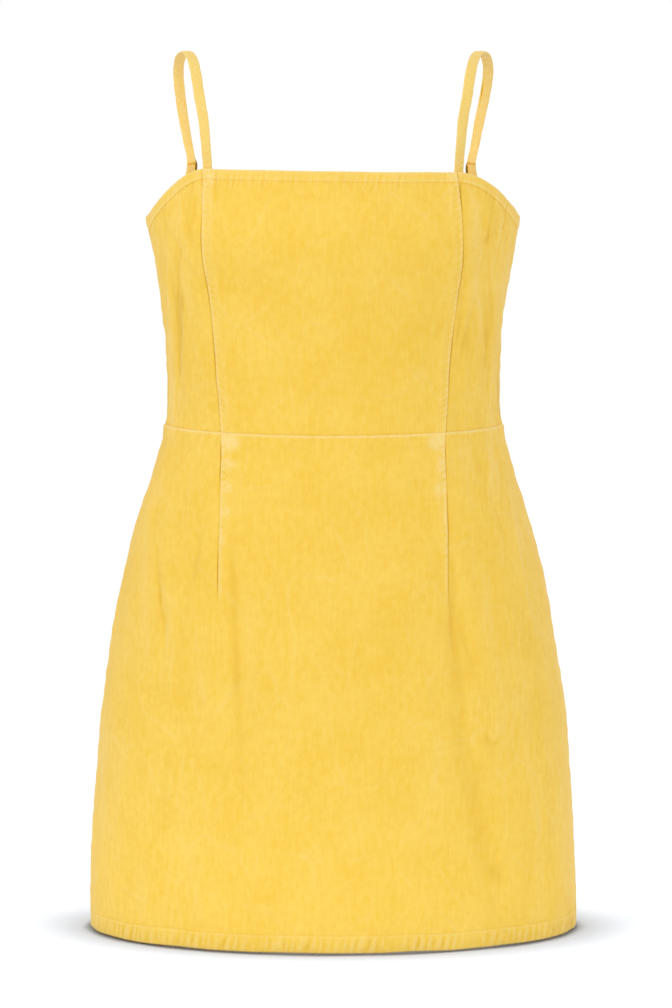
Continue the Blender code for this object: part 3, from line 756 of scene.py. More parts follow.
    def turn_hem(self):
        """The hem, turned up and stitched, roped by the pull of the stitching."""
        at, round_at = self.at, self.at.round_at
        over_hem = at.height - lower_edge(at.angle)
        from_stitch = over_hem - HEM_STITCH
        phase = math.tau * (round_at - 0.18 * over_hem) / (7.2 * MM)
        phase = phase + 2.4 * ripple(83, round_at, 0.022, 0.070)
        rope = np.sin(phase) + 0.35 * np.sin(1.7 * phase + 1.0)
        rope = rope * (0.75 + 0.50 * ripple(84, round_at, 0.03, 0.09))
        share = np.clip(0.12 + 0.88 * np.clip(over_hem / HEM_STITCH, 0.0, 1.0), 0.0, 1.0)
        band = np.sin(math.pi * share) ** 0.8 * rise(at.to_side, 0.0, 5.0)
        hem = at.skirt & (over_hem < HEM_DEPTH + 0.01)
        turned = 1.0 - rise(over_hem - HEM_DEPTH, -0.5, 1.0)
        self.skin += hem * MM * (0.36 * rope * band + 0.40 * (1.0 - rise(from_stitch, 0.3, 1.6))
                                 - 0.40 * hill(from_stitch, 0.0, 0.85))
        self.skin += at.skirt * 0.17 * MM * ripple(85, round_at, 0.008, 0.019) * hill(from_stitch, 2.0, 5.0)
        self.thickness += hem * turned * (TURNED - self.thickness)
        self.rounding += hem * round_off(over_hem)
        # rubbed hem edge and ridge, with a painted highlight on the rope crests
        self.crest += hem * (0.35 * hill(from_stitch, -1.4, 0.8) + 0.42 * hill(over_hem, 0.3, 1.6)
                             + 0.75 * np.clip(rope, 0.0, 1.0) * band)
        # painted shade in the rope hollows and in the stitching's groove
        self.fold += hem * (0.26 * np.maximum(-rope, 0.0) * band + 0.10 * hill(from_stitch, 0.0, 0.60))


def cloth_points(face, angle, height, wrong_side=False):
    """Places on the right or the wrong side of the cloth, with the relief there."""
    base = form_point(face, angle, height)
    round_at = round_distance(face, angle, height)
    off_centre = np.abs(round_at)
    under = waist_seam(angle) - height
    off = Relief(Place(face, angle, height, base, round_at, off_centre, half_round(face, height) - off_centre,
                       under, under > 0.0))
    if wrong_side:
        lift = off.shape + 0.35 * np.maximum(off.skin, 0.0) - off.thickness + off.rounding
    else:
        lift = off.shape + off.skin - off.rounding
    return base + form_normal(face, angle, height) * lift[..., None], off


# ---- Panels
Stretch = namedtuple("Stretch", "first last places")
Cut = namedtuple("Cut", "width length area")
Panel = namedtuple("Panel", "face lines ends spacings cut")
SIDES = (("left", LEFT), ("right", RIGHT))
BUST = -0.1640
PASSES = 6               # how often the grid's heights and angles are settled against each other
WEAVE_MAP = "Weave"
# the wear attribute holds real wear and painted light together: above 0 rubbed pile and painted highlight,
# below 0 painted shade
WEAR_AND_PAINTED_SHADING = "wear_and_painted_shading"
SHARP = 60.0             # degrees
ON_EDGE = 0.01 * MM      # closer than this to the turned edge's end counts as below it


def panel_plan():
    """Every panel by name: the lines between its stretches of columns, the steps beside each line, the
    columns' spacing, and what shows of its cut. Lines run from a side seam to the centre, or from left to
    right."""
    sewn, free = SEAM_STEPS, (0.0,)
    sides = {(side, face): side_seam(side, face) for _, side in SIDES for face in (FRONT, BACK)}
    princess = {side: line_on(FRONT, PRINCESS_SEAM[side], side) for _, side in SIDES}
    darts = [line_on(FRONT, SKIRT_DART, side) for _, side in SIDES]
    plan = {"bodice_front_centre": Panel(FRONT, (princess[LEFT], princess[RIGHT]), ((sewn, sewn),),
                                         (BODICE_COLUMN,), Cut(0.243, 0.222, 0.0500))}
    for name, side in SIDES:
        plan["bodice_front_side_" + name] = Panel(
            FRONT, (sides[side, FRONT], princess[side]), ((sewn, sewn),), (BODICE_COLUMN,),
            Cut(0.090, 0.222, 0.0180))
    for name, side in SIDES:
        outer, inner = corner_turns(side)
        turns = (outer - CORNER_MARGIN[0], outer, inner, inner + CORNER_MARGIN[1])
        lines = [upright(turn if side == LEFT else math.pi - turn) for turn in turns]
        plan["bodice_back_" + name] = Panel(
            BACK, (sides[side, BACK], *lines, BACK_SEAM), ((sewn, free), *((free, free),) * 3, (free, sewn)),
            (BODICE_COLUMN, *(CORNER_COLUMN,) * 3, BODICE_COLUMN), Cut(0.200, 0.222, 0.0350))
    plan["skirt_front"] = Panel(FRONT, (sides[LEFT, FRONT], *darts, sides[RIGHT, FRONT]), ((sewn, sewn),) * 3,
                                (SKIRT_COLUMN,) * 3, Cut(0.560, 0.434, 0.2100))
    for name, side in SIDES:
        plan["skirt_back_" + name] = Panel(BACK, (sides[side, BACK], BACK_SEAM), ((sewn, sewn),),
                                           (SKIRT_COLUMN,), Cut(0.280, 0.434, 0.1050))
    return plan


def spread_out(start_steps, end_steps, length, spacing):
    """Places along a length, each a share of it and a distance added, finer at the ends."""
    first, last = start_steps[-1], end_steps[-1]
    count = max(1, round((length - first - last) / spacing))
    places = [(0.0, step) for step in start_steps[:-1]]
    places += [(k / count, first * (1.0 - k / count) - last * k / count) for k in range(count + 1)]
    return places + [(1.0, -step) for step in reversed(end_steps[:-1])]


def stretches_of(panel, height):
    """Columns between each two lines of a panel, spaced for its width at a height."""
    found, level = [], np.array(height)
    for first, last, ends, spacing in zip(panel.lines, panel.lines[1:], panel.ends, panel.spacings):
        width = abs(float(round_distance(panel.face, last(level), level)
                          - round_distance(panel.face, first(level), level)))
        places = spread_out(*ends, width, spacing)
        found.append(Stretch(first, last, places[1:] if found else places))
    return found


def column_angles(face, stretches, height):
    """The angle of every column at the heights of its rows."""
    parts, start = [], 0
    for stretch in stretches:
        rows = height[start:start + len(stretch.places)]
        start += len(stretch.places)
        first, last = stretch.first(rows), stretch.last(rows)
        width = np.abs(round_distance(face, last, rows) - round_distance(face, first, rows))
        shares, added = np.array(stretch.places).T[..., None]
        parts.append(first + (last - first) * (shares + added / width))
    return np.concatenate(parts)


def panel_rows(bodice):
    """Rows of a panel: shares of the top, the turned edge's end and the bottom, and a distance added."""
    if bodice:
        body = spread_out(TURN_STEPS, SEAM_STEPS, BODICE_LENGTH, BODICE_ROW)
        rows = [(1.0 - share, share, 0.0, 0.0) for share in TURN_SHARES]
        return np.array(rows + [(0.0, 1.0 - share, share, -added) for share, added in body])
    body = spread_out(SEAM_STEPS, HEM_STEPS, WAIST_SIDE - HEM, SKIRT_ROW)
    return np.array([(1.0 - share, 0.0, share, -added) for share, added in body])


def panel_grid(face, stretches, rows, bodice):
    """Angle and height of every place in a panel's grid, as columns of rows."""
    height = np.full((sum(len(stretch.places) for stretch in stretches), len(rows)), WAIST_SIDE)
    for _ in range(PASSES):
        angle = column_angles(face, stretches, height)
        if bodice:
            top, turn = upper_edge(face, angle), upper_edge(face, angle, turned=True)
            bottom = waist_seam(angle)
        else:
            top, turn, bottom = waist_seam(angle), 0.0, lower_edge(angle)
        height = top * rows[:, 0] + turn * rows[:, 1] + bottom * rows[:, 2] + rows[:, 3]
    return angle, height


def draw_in(points, bodice):
    """Move the panel's seam edges half of the gap between two panels inwards."""
    seam = ((points[:, -1], points[:, -2]) if bodice else (points[:, 0], points[:, 1]))
    for edge, beside in ((points[0], points[1]), (points[-1], points[-2]), seam):
        edge += PANEL_GAP * unit(beside - edge)


def every_other(count):
    """Every second place, with the last."""
    return sorted(set(range(0, count, 2)) | {count - 1})


def quads(grid):
    """Faces of a grid of numbered places."""
    corners = [grid[:-1, :-1], grid[:-1, 1:], grid[1:, 1:], grid[1:, :-1]]
    return np.stack(corners, axis=-1).reshape(-1, 4).tolist()


def rim_faces(fine, coarse, kept, flip):
    """Faces along one edge of a shell, from every place of its right side to the kept ones of the other."""
    for k, (here, there) in enumerate(zip(kept, kept[1:])):
        loop = [*fine[here:there + 1].tolist(), int(coarse[k + 1]), int(coarse[k])]
        yield loop[::-1] if flip else loop


def shell_faces(columns, rows):
    """Faces of a closed shell: a fine right side, a coarser wrong side and the rim between them."""
    across, down = every_other(columns), every_other(rows)
    fine = np.arange(columns * rows).reshape(columns, rows)
    coarse = columns * rows + np.arange(len(across) * len(down)).reshape(len(across), len(down))
    rim = [*rim_faces(fine[:, 0], coarse[:, 0], across, False),
           *rim_faces(fine[:, -1], coarse[:, -1], across, True),
           *rim_faces(fine[0], coarse[0], down, True),
           *rim_faces(fine[-1], coarse[-1], down, False)]
    return quads(fine), [face[::-1] for face in quads(coarse)], rim


def add_mesh(name, points, faces, materials, weave=None, wear_and_painted_shading=None, slots=None, sharp=None):
    """A mesh object with the cloth's own measure as its UV map, and its wear with painted highlight and
    painted shade as an attribute.
    """
    mesh = bpy.data.meshes.new(name)
    mesh.from_pydata([tuple(point) for point in points], [], faces)
    for material in materials:
        mesh.materials.append(material)
    if slots is not None:
        mesh.polygons.foreach_set("material_index", slots)
    if weave is not None:
        loops = np.empty(len(mesh.loops), dtype=np.int32)
        mesh.loops.foreach_get("vertex_index", loops)
        flat = np.asarray(weave, dtype=np.float32)[loops].ravel()
        mesh.uv_layers.new(name=WEAVE_MAP).data.foreach_set("uv", flat)
    if wear_and_painted_shading is not None:
        values = np.asarray(wear_and_painted_shading, dtype=np.float32)
        mesh.attributes.new(WEAR_AND_PAINTED_SHADING, "FLOAT", "POINT").data.foreach_set("value", values)
    mesh.shade_smooth()
    if sharp is not None:
        mesh.set_sharp_from_angle(angle=math.radians(sharp))
    mesh.update()
    piece = bpy.data.objects.new(name, mesh)
    bpy.context.scene.collection.objects.link(piece)
    return piece


def inner_wear_and_painted_light(face, height, turned):
    """Wear and painted light on the wrong side: turned edges are rubbed pale, and the back's corners are
    painted paler still as painted light where shade falls.
    """
    corner = (face == BACK) * smooth_step((height - BACK_NECKLINE - NECKLINE_RISE) / 0.004)
    return (0.45 + 0.55 * corner) * turned


def make_panel(name, panel, materials):
    """One panel of cloth as a closed shell."""
    face, bodice = panel.face, name.startswith("bodice")
    stretches = stretches_of(panel, BUST if bodice else HEM)
    rows = panel_rows(bodice)
    angle, height = panel_grid(face, stretches, rows, bodice)
    right, off = cloth_points(face, angle, height)
    kept = np.ix_(every_other(len(angle)), every_other(len(rows)))
    wrong, wrong_off = cloth_points(face, angle[kept], height[kept], wrong_side=True)
    draw_in(right, bodice)
    draw_in(wrong, bodice)
    outside, inside, rim = shell_faces(*angle.shape)
    points = np.concatenate([right.reshape(-1, 3), wrong.reshape(-1, 3)])
    weave = np.concatenate([np.stack([layer.at.round_at, layer.at.height], axis=-1).reshape(-1, 2)
                            for layer in (off, wrong_off)])
    turned = (height > upper_edge(face, angle, turned=True) + ON_EDGE if bodice
              else height < lower_edge(angle) + HEM_DEPTH)[kept]
    wear_and_painted_shading = np.concatenate([off.wear_and_painted_shading.ravel(), inner_wear_and_painted_light(face, height[kept], turned).ravel()])
    unturned = ~(turned[:-1, :-1] & turned[:-1, 1:])
    slots = [0] * len(outside) + unturned.astype(int).ravel().tolist() + [0] * len(rim)
    return add_mesh("cloth_" + name, points, outside + inside + rim, materials, weave, wear_and_painted_shading, slots, SHARP)


# ---- Stitching
def resample(points, normals, pitch):
    """Even places along a line of points, with the direction along it and out of it."""
    lengths = running_length(points)
    count = int(lengths[-1] / pitch)
    places = (np.arange(count) + 0.5) * lengths[-1] / count

    def at(spots, values):
        return np.stack([np.interp(spots, lengths, values[:, k]) for k in range(3)], axis=-1)

    along = unit(at(places + 0.4 * MM, points) - at(places - 0.4 * MM, points))
    out = at(places, normals)
    return at(places, points), along, unit(out - along * np.sum(along * out, axis=1, keepdims=True))


def tube_faces(rings, sides):
    """Faces of a closed tube of rings, round it and over its two ends."""
    turn = [(k, (k + 1) % sides) for k in range(sides)]
    walls = [(low + k, low + sides + k, low + sides + after, low + after)
             for low in range(0, (rings - 1) * sides, sides) for k, after in turn]
    last = (rings - 1) * sides
    return [*walls, tuple(range(sides)), tuple(last + k for k in reversed(range(sides)))]


# Places along a stitch as shares of its length, then half-width and lift as shares of its radius.
STITCH_RINGS = ((-0.50, 0.35, -0.35), (-0.36, 0.90, 0.15), (0.0, 1.0, 0.45), (0.36, 0.90, 0.15),
                (0.50, 0.35, -0.35))
STITCH_SIDES = 6
STITCH_PLACES = 700      # points along an edge before its stitches are set out
STITCHING_SEED, STRAP_SEED, TACK_SEED = 200, 300, 400


def stitch_mesh(name, middle, along, out, length, radius, material, seed):
    """A row of stitches: short arched threads whose ends go into the cloth, joined in one mesh."""
    draw = np.random.default_rng(seed)
    over = np.cross(along, out)
    count = len(middle)
    swing = draw.normal(0.0, 0.05, (count, 1))
    along = along + over * swing
    size = 1.0 + draw.normal(0.0, 0.06, (count, 1))
    points = []
    for place, width, lift in STITCH_RINGS:
        centre = middle + along * (place * length) * size + out * (lift * radius)
        for k in range(STITCH_SIDES):
            turn = math.tau * k / STITCH_SIDES
            points.append(centre + (over * math.cos(turn) + out * math.sin(turn)) * (width * radius) * size)
    one, size_of_one = tube_faces(len(STITCH_RINGS), STITCH_SIDES), len(points)
    points = np.stack(points, axis=1).reshape(-1, 3)
    faces = [[start + k for k in face] for start in range(0, len(points), size_of_one) for face in one]
    return add_mesh(name, points, faces, [material])


def stitch_line(name, face, first, last, level, material, seed):
    """Stitches along a finished edge of a panel, from one of its lines to the other."""
    shares = np.linspace(0.0, 1.0, STITCH_PLACES)
    height = np.full_like(shares, WAIST_SIDE)
    for _ in range(PASSES):
        start, end = first(height), last(height)
        angle = start + (end - start) * shares
        height = level(angle)
    points = cloth_points(face, angle, height)[0]
    lengths = running_length(points)
    keep = (lengths > STITCH_MARGIN) & (lengths < lengths[-1] - STITCH_MARGIN)
    rows = resample(points[keep], form_normal(face, angle, height)[keep], STITCH_PITCH)
    return stitch_mesh(name, *rows, STITCH_LENGTH, STITCH_RADIUS, material, seed)


def make_stitching(plan, material):
    """Stitching of the turned top edge and of the hem, one piece for each panel, from left to right."""
    found = {}
    for number, (name, panel) in enumerate(plan.items()):
        def level(angle):
            if name.startswith("bodice"):
                return upper_edge(panel.face, angle, turned=True) + TURN_DEPTH - TURN_STITCH
            return lower_edge(angle) + HEM_STITCH
        ends = (panel.lines[0], panel.lines[-1])
        first, last = ends[::-1] if name.endswith("right") else ends
        found[name] = stitch_line("stitching_" + name, panel.face, first, last, level, material,
                                  STITCHING_SEED + number)
    return found


# ---- Straps
STRAP_RINGS = 300
STRAP_SIDES = 30
FOLD_PLACE = 0.50        # the strap's folded edge on its underside, as a share of half its width
FOLD_DEPTH = 0.45 * MM
SLIT_PLACE = 0.705       # where the left strap's fold stands open, as a share of its route
SLIT_REACH = 0.032
SLIT_OPEN = {LEFT: 1.0, RIGHT: 0.15}
FOOT = {LEFT: 0.925, RIGHT: 0.910}  # where the back foot starts to widen, as a share of the route
FOOT_REACH = 0.040
TACK_PLACE = 0.940
TACK_STITCHES = 15
TACK_LENGTH = 1.9 * MM
TACK_SLANT = 0.22


def strap_foot(name, face, across, level, rise_over):
    """A station of a strap's foot, just inside the turned edge at a level, with the edge's own turn."""
    edge_level, spot = np.float64(level), np.float64(level + rise_over)
    angle = angle_across(face, across, spot)
    inwards = form_normal(face, angle, spot) * (TURNED + STRAP_SEAT_GAP + 0.5 * STRAP_THICKNESS)
    edge = form_normal(face, angle_across(face, across, edge_level), edge_level)
    return StrapPoint(name, *(form_point(face, angle, spot) - inwards),
                      math.degrees(math.atan2(-face * edge[0], face * edge[1])))


def strap_stations(side):
    """The whole route of a strap on the wearer's left, or its mirror image for the right, feet included."""
    route = [point._replace(x=point.x + STRAP_SWAY[side].get(point.name, 0.0)) for point in STRAP_ROUTE]
    return [strap_foot("front foot", FRONT, STRAP_FRONT_X, NECKLINE, -STRAP_FOOT),
            strap_foot("front edge", FRONT, STRAP_FRONT_X, NECKLINE, STRAP_RISE), *route,
            strap_foot("back edge", BACK, STRAP_BACK_X[side], BACK_CORNER, STRAP_RISE),
            strap_foot("back foot", BACK, STRAP_BACK_X[side], BACK_CORNER, -STRAP_FOOT)]


def strap_frame(tangent, yaw):
    """Directions across a strap and through it."""
    level = np.stack([np.cos(yaw), np.sin(yaw), 0.0 * yaw], axis=-1)
    across = unit(level - tangent * np.sum(level * tangent, axis=-1, keepdims=True))
    return across, np.cross(tangent, across)


def along_route(stations, share):
    """A smooth point and yaw at shares of the way through the stations."""
    table = np.array([station[1:] for station in stations])
    place = np.asarray(share) * (len(stations) - 1)
    index = np.minimum(place.astype(int), len(stations) - 2)
    part = (place - index)[:, None]
    picks = [table[np.clip(index + k, 0, len(stations) - 1)] for k in (-1, 0, 1, 2)]
    values = (picks[0] * 0.5 * (-part + 2.0 * part ** 2 - part ** 3)
              + picks[1] * 0.5 * (2.0 - 5.0 * part ** 2 + 3.0 * part ** 3)
              + picks[2] * 0.5 * (part + 4.0 * part ** 2 - 3.0 * part ** 3)
              + picks[3] * 0.5 * (-part ** 2 + part ** 3))
    return values[:, :3], np.radians(values[:, 3])


def make_strap(name, side, materials):
    """A narrow folded strap with rounded edges, a little uneven, and its fold along the underside."""
    shares = np.linspace(0.0, 1.0, STRAP_RINGS)
    middle, yaw = along_route(strap_stations(side), shares)
    lengths = running_length(middle)[:, None]
    seed, shares = STRAP_SEED + side, shares[:, None]
    yaw = yaw + math.radians(3.0) * (ripple(seed, lengths, 0.05, 0.14) * np.sin(math.pi * shares))[:, 0]
    across, through = strap_frame(unit(np.gradient(middle, axis=0)), yaw)

    # the section: flat and deep run from -1 to 1 across the strap and through it, to its underside
    half_width = 0.5 * STRAP_WIDTH * (1.0 + 0.025 * ripple(seed + 2, lengths, 0.012, 0.05))
    turns = math.tau * (np.arange(STRAP_SIDES) + 0.5) / STRAP_SIDES
    flat = np.sign(np.cos(turns)) * np.abs(np.cos(turns)) ** 0.55
    deep = np.sign(np.sin(turns)) * np.abs(np.sin(turns)) ** 0.80
    drift = FOLD_PLACE + 0.16 * ripple(seed + 6, lengths, 0.05, 0.16)
    opened = bump(shares - SLIT_PLACE, SLIT_REACH) * SLIT_OPEN[side]
    slit = bump(flat + drift, 0.13) * (deep > 0.0)
    lift = 0.5 * STRAP_THICKNESS * deep * (1.0 - 0.14 * flat ** 2) - FOLD_DEPTH * (0.5 + 1.3 * opened) * slit
    lift = lift + 0.16 * MM * ripple(seed + 4, lengths, 0.014, 0.045)
    foot = smooth_step((shares - FOOT[side]) / FOOT_REACH)
    wide = half_width * flat * (1.0 + foot * np.where(flat < 0.0, 0.40, 0.06))
    points = middle[:, None] + across[:, None] * wide[..., None] + through[:, None] * lift[..., None]
    points[..., 0] *= side
    weave = np.stack(np.broadcast_arrays(half_width * flat + 0.3 * side, lengths), axis=-1)

    # wear and painted light: painted sheen along the edges, the underside, the back half and the foot painted
    # paler where little light reaches them, streaks where the cords slant, painted shade in the fold and a
    # painted shadow beside the foot
    twist = math.tau * (lengths + 1.4 * half_width * flat) / (3.4 * MM)
    twist = np.sin(twist + 2.0 * ripple(seed + 8, lengths, 0.02, 0.06))
    # where the painted shadow goes: the gap on the neck side of the back foot
    gap = smooth_step(foot / 0.25) * smooth_step((0.46 * foot - 0.93 - flat) / 0.10)
    wear_and_painted_shading = 0.75 + 0.34 * np.abs(flat) ** 6 + 0.45 * (deep > 0.0) * (1.0 - slit) + 0.20 * twist
    wear_and_painted_shading = wear_and_painted_shading + 0.30 * smooth_step((shares - 0.50) / 0.15) + 0.30 * foot
    # painted shade in the underside fold, darkest where it stands open, and a painted shadow in the gap
    # beside the back foot
    wear_and_painted_shading = wear_and_painted_shading - (0.3 + 2.2 * opened) * slit - 4.0 * gap
    faces = [face if side == LEFT else face[::-1] for face in tube_faces(STRAP_RINGS, STRAP_SIDES)]
    return add_mesh(name, points.reshape(-1, 3), faces, materials, weave.reshape(-1, 2), wear_and_painted_shading.ravel(),
                    sharp=SHARP)


def make_bar_tack(name, side, material):
    """Close stitches across a strap's back foot, on the side that shows through the neck."""
    middle, yaw = along_route(strap_stations(side), (TACK_PLACE, TACK_PLACE + 0.0005))
    tangent = unit(middle[1] - middle[0])
    across, through = strap_frame(tangent, yaw[0])
    places = np.linspace(-0.43, 0.43, TACK_STITCHES) * STRAP_WIDTH
    centre = middle[0] + across * places[:, None] + through * (0.5 * STRAP_THICKNESS - 0.02 * MM)
    flip = np.array([side, 1.0, 1.0])
    along = np.tile(unit(tangent + TACK_SLANT * across) * flip, (TACK_STITCHES, 1))
    out = np.tile(through * flip, (TACK_STITCHES, 1))
    return stitch_mesh(name, centre * flip, along, out, TACK_LENGTH, STITCH_RADIUS, material,
                       TACK_SEED + side)


# ---- Materials
WALE_PITCH = 1.5 * MM


class Shading:
    """Adds linked nodes to one material. A value given for an input may be a number, a colour or a socket."""

    def __init__(self, name):
        self.material = bpy.data.materials.new(name)
        self.material.use_nodes = True
        self.tree = self.material.node_tree
        self.shader = self.tree.nodes["Principled BSDF"]

    def put(self, node, key, value):
        """Set or link one input."""
        if isinstance(value, bpy.types.NodeSocket):
            self.tree.links.new(value, node.inputs[key])
        else:
            node.inputs[key].default_value = value

    def node(self, kind, inputs=(), **settings):
        """A node with its settings and inputs."""
        made = self.tree.nodes.new("ShaderNode" + kind)
        for key, value in settings.items():
            setattr(made, key, value)
        for key, value in dict(inputs).items():
            self.put(made, key, value)
        return made

    def math(self, operation, *values):
        """The result of a Math node."""
        return self.node("Math", dict(enumerate(values)), operation=operation).outputs[0]

    def blend(self, *parts):
        """Several values, each times its weight, added up."""
        total = None
        for value, weight in parts:
            part = self.math("MULTIPLY", value, weight)
            total = part if total is None else self.math("ADD", total, part)
        return total

    def scaled(self, vector, *scale):
        """A vector multiplied along each axis."""
        return self.node("VectorMath", {0: vector, 1: scale}, operation="MULTIPLY").outputs[0]

    def noise(self, vector, scale, detail=2.0, roughness=0.5):
        """Noise from 0 to 1."""
        return self.node("TexNoise", {"Vector": vector, "Scale": scale, "Detail": detail,
                                      "Roughness": roughness}).outputs["Fac"]

    def ramp(self, value, low, high, start=0.0, end=1.0):
        """A value carried smoothly from one span to another, and held at its ends."""
        made = self.node("MapRange", {"Value": value, "From Min": low, "From Max": high, "To Min": start,
                                      "To Max": end}, interpolation_type="SMOOTHSTEP")
        return made.outputs["Result"]

    def mix(self, share, first, second):
        """A colour between two."""
        made = self.tree.nodes.new("ShaderNodeMix")
        made.data_type = "RGBA"
        for index, value in ((0, share), (6, first), (7, second)):
            self.put(made, index, value)
        return made.outputs[2]

    def finish(self, colour, height, distance, strength, **values):
        """The cloth's colour, its finest relief, and plain values of its surface."""
        self.put(self.shader, "Base Color", colour)
        made = self.node("Bump", {"Height": height, "Distance": distance, "Strength": strength})
        self.put(self.shader, "Normal", made.outputs["Normal"])
        values = {"Metallic": 0.0, "Specular IOR Level": 0.18, "Sheen Roughness": 0.45, **values}
        for key, value in values.items():
            self.shader.inputs[key.replace("_", " ")].default_value = value
        return self.material


def linear(red, green, blue):
    """A linear colour from the 0 to 255 steps of a display."""
    def channel(value):
        share = value / 255.0
        return share / 12.92 if share <= 0.04045 else ((share + 0.055) / 1.055) ** 2.4
    return (channel(red), channel(green), channel(blue), 1.0)


CLOTH_DEEP = linear(248, 203, 72)
CLOTH_PALE = linear(255, 216, 101)
# pale colour of rubbed pile and crush marks, also used for painted highlight
CLOTH_WORN_AND_LIT = linear(255, 229, 158)
# colours of painted shade: in crease troughs and seam grooves, then deeper shade, then a painted shadow in
# the strap's fold and gap
CLOTH_TROUGH_SHADE = linear(236, 190, 60)
CLOTH_SHADE = linear(206, 160, 42)
CLOTH_PAINTED_SHADOW = linear(116, 88, 22)
CLOTH_WRONG = linear(240, 196, 88)
CLOTH_WRONG_DEEP = linear(230, 182, 74)
PAINTED_SHADE_STEPS = ((0.0, 0.45, CLOTH_TROUGH_SHADE), (0.15, 0.95, CLOTH_SHADE), (1.0, 1.9, CLOTH_PAINTED_SHADOW))  # by wear below 0
THREAD_DEEP = linear(240, 190, 66)
THREAD_PALE = linear(251, 214, 104)


def needlecord():
    """Right side: fine wales with a brushed pile, uneven garment dye, crush marks, rubbed seams, and the
    painted highlight and painted shade carried by the wear attribute.
    """
    made = Shading("needlecord_yellow")
    weave = made.node("UVMap", uv_map=WEAVE_MAP).outputs["UV"]
    place = made.node("TexCoord").outputs["Object"]
    wear_and_painted_shading = made.node("Attribute", attribute_name=WEAR_AND_PAINTED_SHADING).outputs["Fac"]
    parts = made.node("SeparateXYZ", {0: weave}).outputs

    # wales: round ridges that wander a little
    wander = made.noise(made.scaled(weave, 30.0, 12.0, 1.0), 1.0, 1.0)
    turns = made.math("ADD", made.math("MULTIPLY", parts[0], math.tau / WALE_PITCH),
                      made.math("MULTIPLY", wander, 9.0))
    wale = made.math("MULTIPLY_ADD", made.math("COSINE", turns), 0.5, 0.5)

    # pile: short tufts along the wales, and streaks where it lies differently
    tufts = made.noise(made.scaled(weave, 2600.0, 900.0, 1.0), 1.0, 2.0, 0.6)
    streaks = made.noise(made.scaled(weave, 420.0, 45.0, 1.0), 1.0, 2.0, 0.6)
    blotches = made.noise(made.scaled(weave, 190.0, 130.0, 1.0), 1.0, 3.0, 0.62)
    clouds = made.noise(place, 28.0, 2.0, 0.5)

    # crush marks: faint straight-sided lines as on crumpled cloth, in patches
    stretched = made.scaled(weave, 21.0, 12.0, 1.0)
    strayed = made.node("TexNoise", {"Vector": weave, "Scale": 9.0, "Detail": 1.0}).outputs["Color"]
    bend = made.node("VectorMath", {0: stretched, 1: strayed}, operation="ADD").outputs[0]
    cells = made.node("TexVoronoi", {"Vector": bend, "Scale": 1.0}, feature="DISTANCE_TO_EDGE")
    edges = cells.outputs["Distance"]
    patch = made.ramp(made.noise(place, 30.0, 1.0), 0.38, 0.62)
    crush = made.math("MULTIPLY", made.ramp(edges, 0.0, 0.040, 1.0, 0.0), patch)
    facets = made.ramp(edges, 0.0, 0.22, 0.0, 1.0)

    # colour
    tone = made.blend((blotches, 0.85), (streaks, 0.42), (clouds, 0.50), (tufts, 0.18))
    colour = made.mix(made.ramp(tone, 0.62, 1.34), CLOTH_DEEP, CLOTH_PALE)
    colour = made.mix(made.math("MULTIPLY", made.math("SUBTRACT", 1.0, wale), 0.10), colour, CLOTH_DEEP)
    colour = made.mix(made.math("MULTIPLY", crush, 0.12), colour, CLOTH_WORN_AND_LIT)
    # paler where the pile is rubbed, and painted highlight where the wear attribute carries it
    broken = made.ramp(made.noise(made.scaled(weave, 620.0, 300.0, 1.0), 1.0, 2.0), 0.30, 0.66, 0.45, 1.0)
    worn_and_lit = made.math("MULTIPLY", made.math("MINIMUM", made.math("MAXIMUM", wear_and_painted_shading, 0.0), 1.0), broken)
    colour = made.mix(made.math("MULTIPLY", worn_and_lit, 0.75), colour, CLOTH_WORN_AND_LIT)
    # painted shade, in steps, where the wear attribute is below 0
    shade = made.math("MAXIMUM", made.math("MULTIPLY", wear_and_painted_shading, -1.0), 0.0)
    for low, high, deeper in PAINTED_SHADE_STEPS:
        colour = made.mix(made.ramp(shade, low, high, 0.0, 0.85), colour, deeper)
    height = made.blend((wale, 0.12), (tufts, 0.18), (blotches, 0.32), (facets, 0.34))
    return made.finish(colour, height, 1.0 * MM, 0.9, Roughness=0.92, Sheen_Weight=0.32,
                       Sheen_Tint=(1.0, 0.86, 0.72, 1.0))


def wrong_side():
    """Wrong side: the flat ground weave, duller and without a pile."""
    made = Shading("needlecord_wrong_side")
    weave = made.node("UVMap", uv_map=WEAVE_MAP).outputs["UV"]
    threads = made.noise(made.scaled(weave, 1500.0, 1500.0, 1.0), 1.0, 2.0)
    patches = made.noise(made.scaled(weave, 60.0, 40.0, 1.0), 1.0, 2.0)
    share = made.ramp(made.blend((threads, 0.5), (patches, 0.5)), 0.3, 0.7)
    colour = made.mix(share, CLOTH_WRONG_DEEP, CLOTH_WRONG)
    return made.finish(colour, threads, 0.15 * MM, 1.0, Roughness=0.95, Sheen_Weight=0.10,
                       Sheen_Tint=(1.0, 0.9, 0.8, 1.0))


def thread():
    """Sewing thread in the cloth's colour, garment-dyed a little paler."""
    made = Shading("sewing_thread")
    place = made.node("TexCoord").outputs["Object"]
    twist = made.noise(made.scaled(place, 3000.0, 3000.0, 5200.0), 1.0, 2.0)
    colour = made.mix(twist, THREAD_DEEP, THREAD_PALE)
    return made.finish(colour, twist, 0.08 * MM, 1.0, Roughness=0.75, Sheen_Weight=0.10,
                       Sheen_Tint=(1.0, 0.95, 0.85, 1.0))


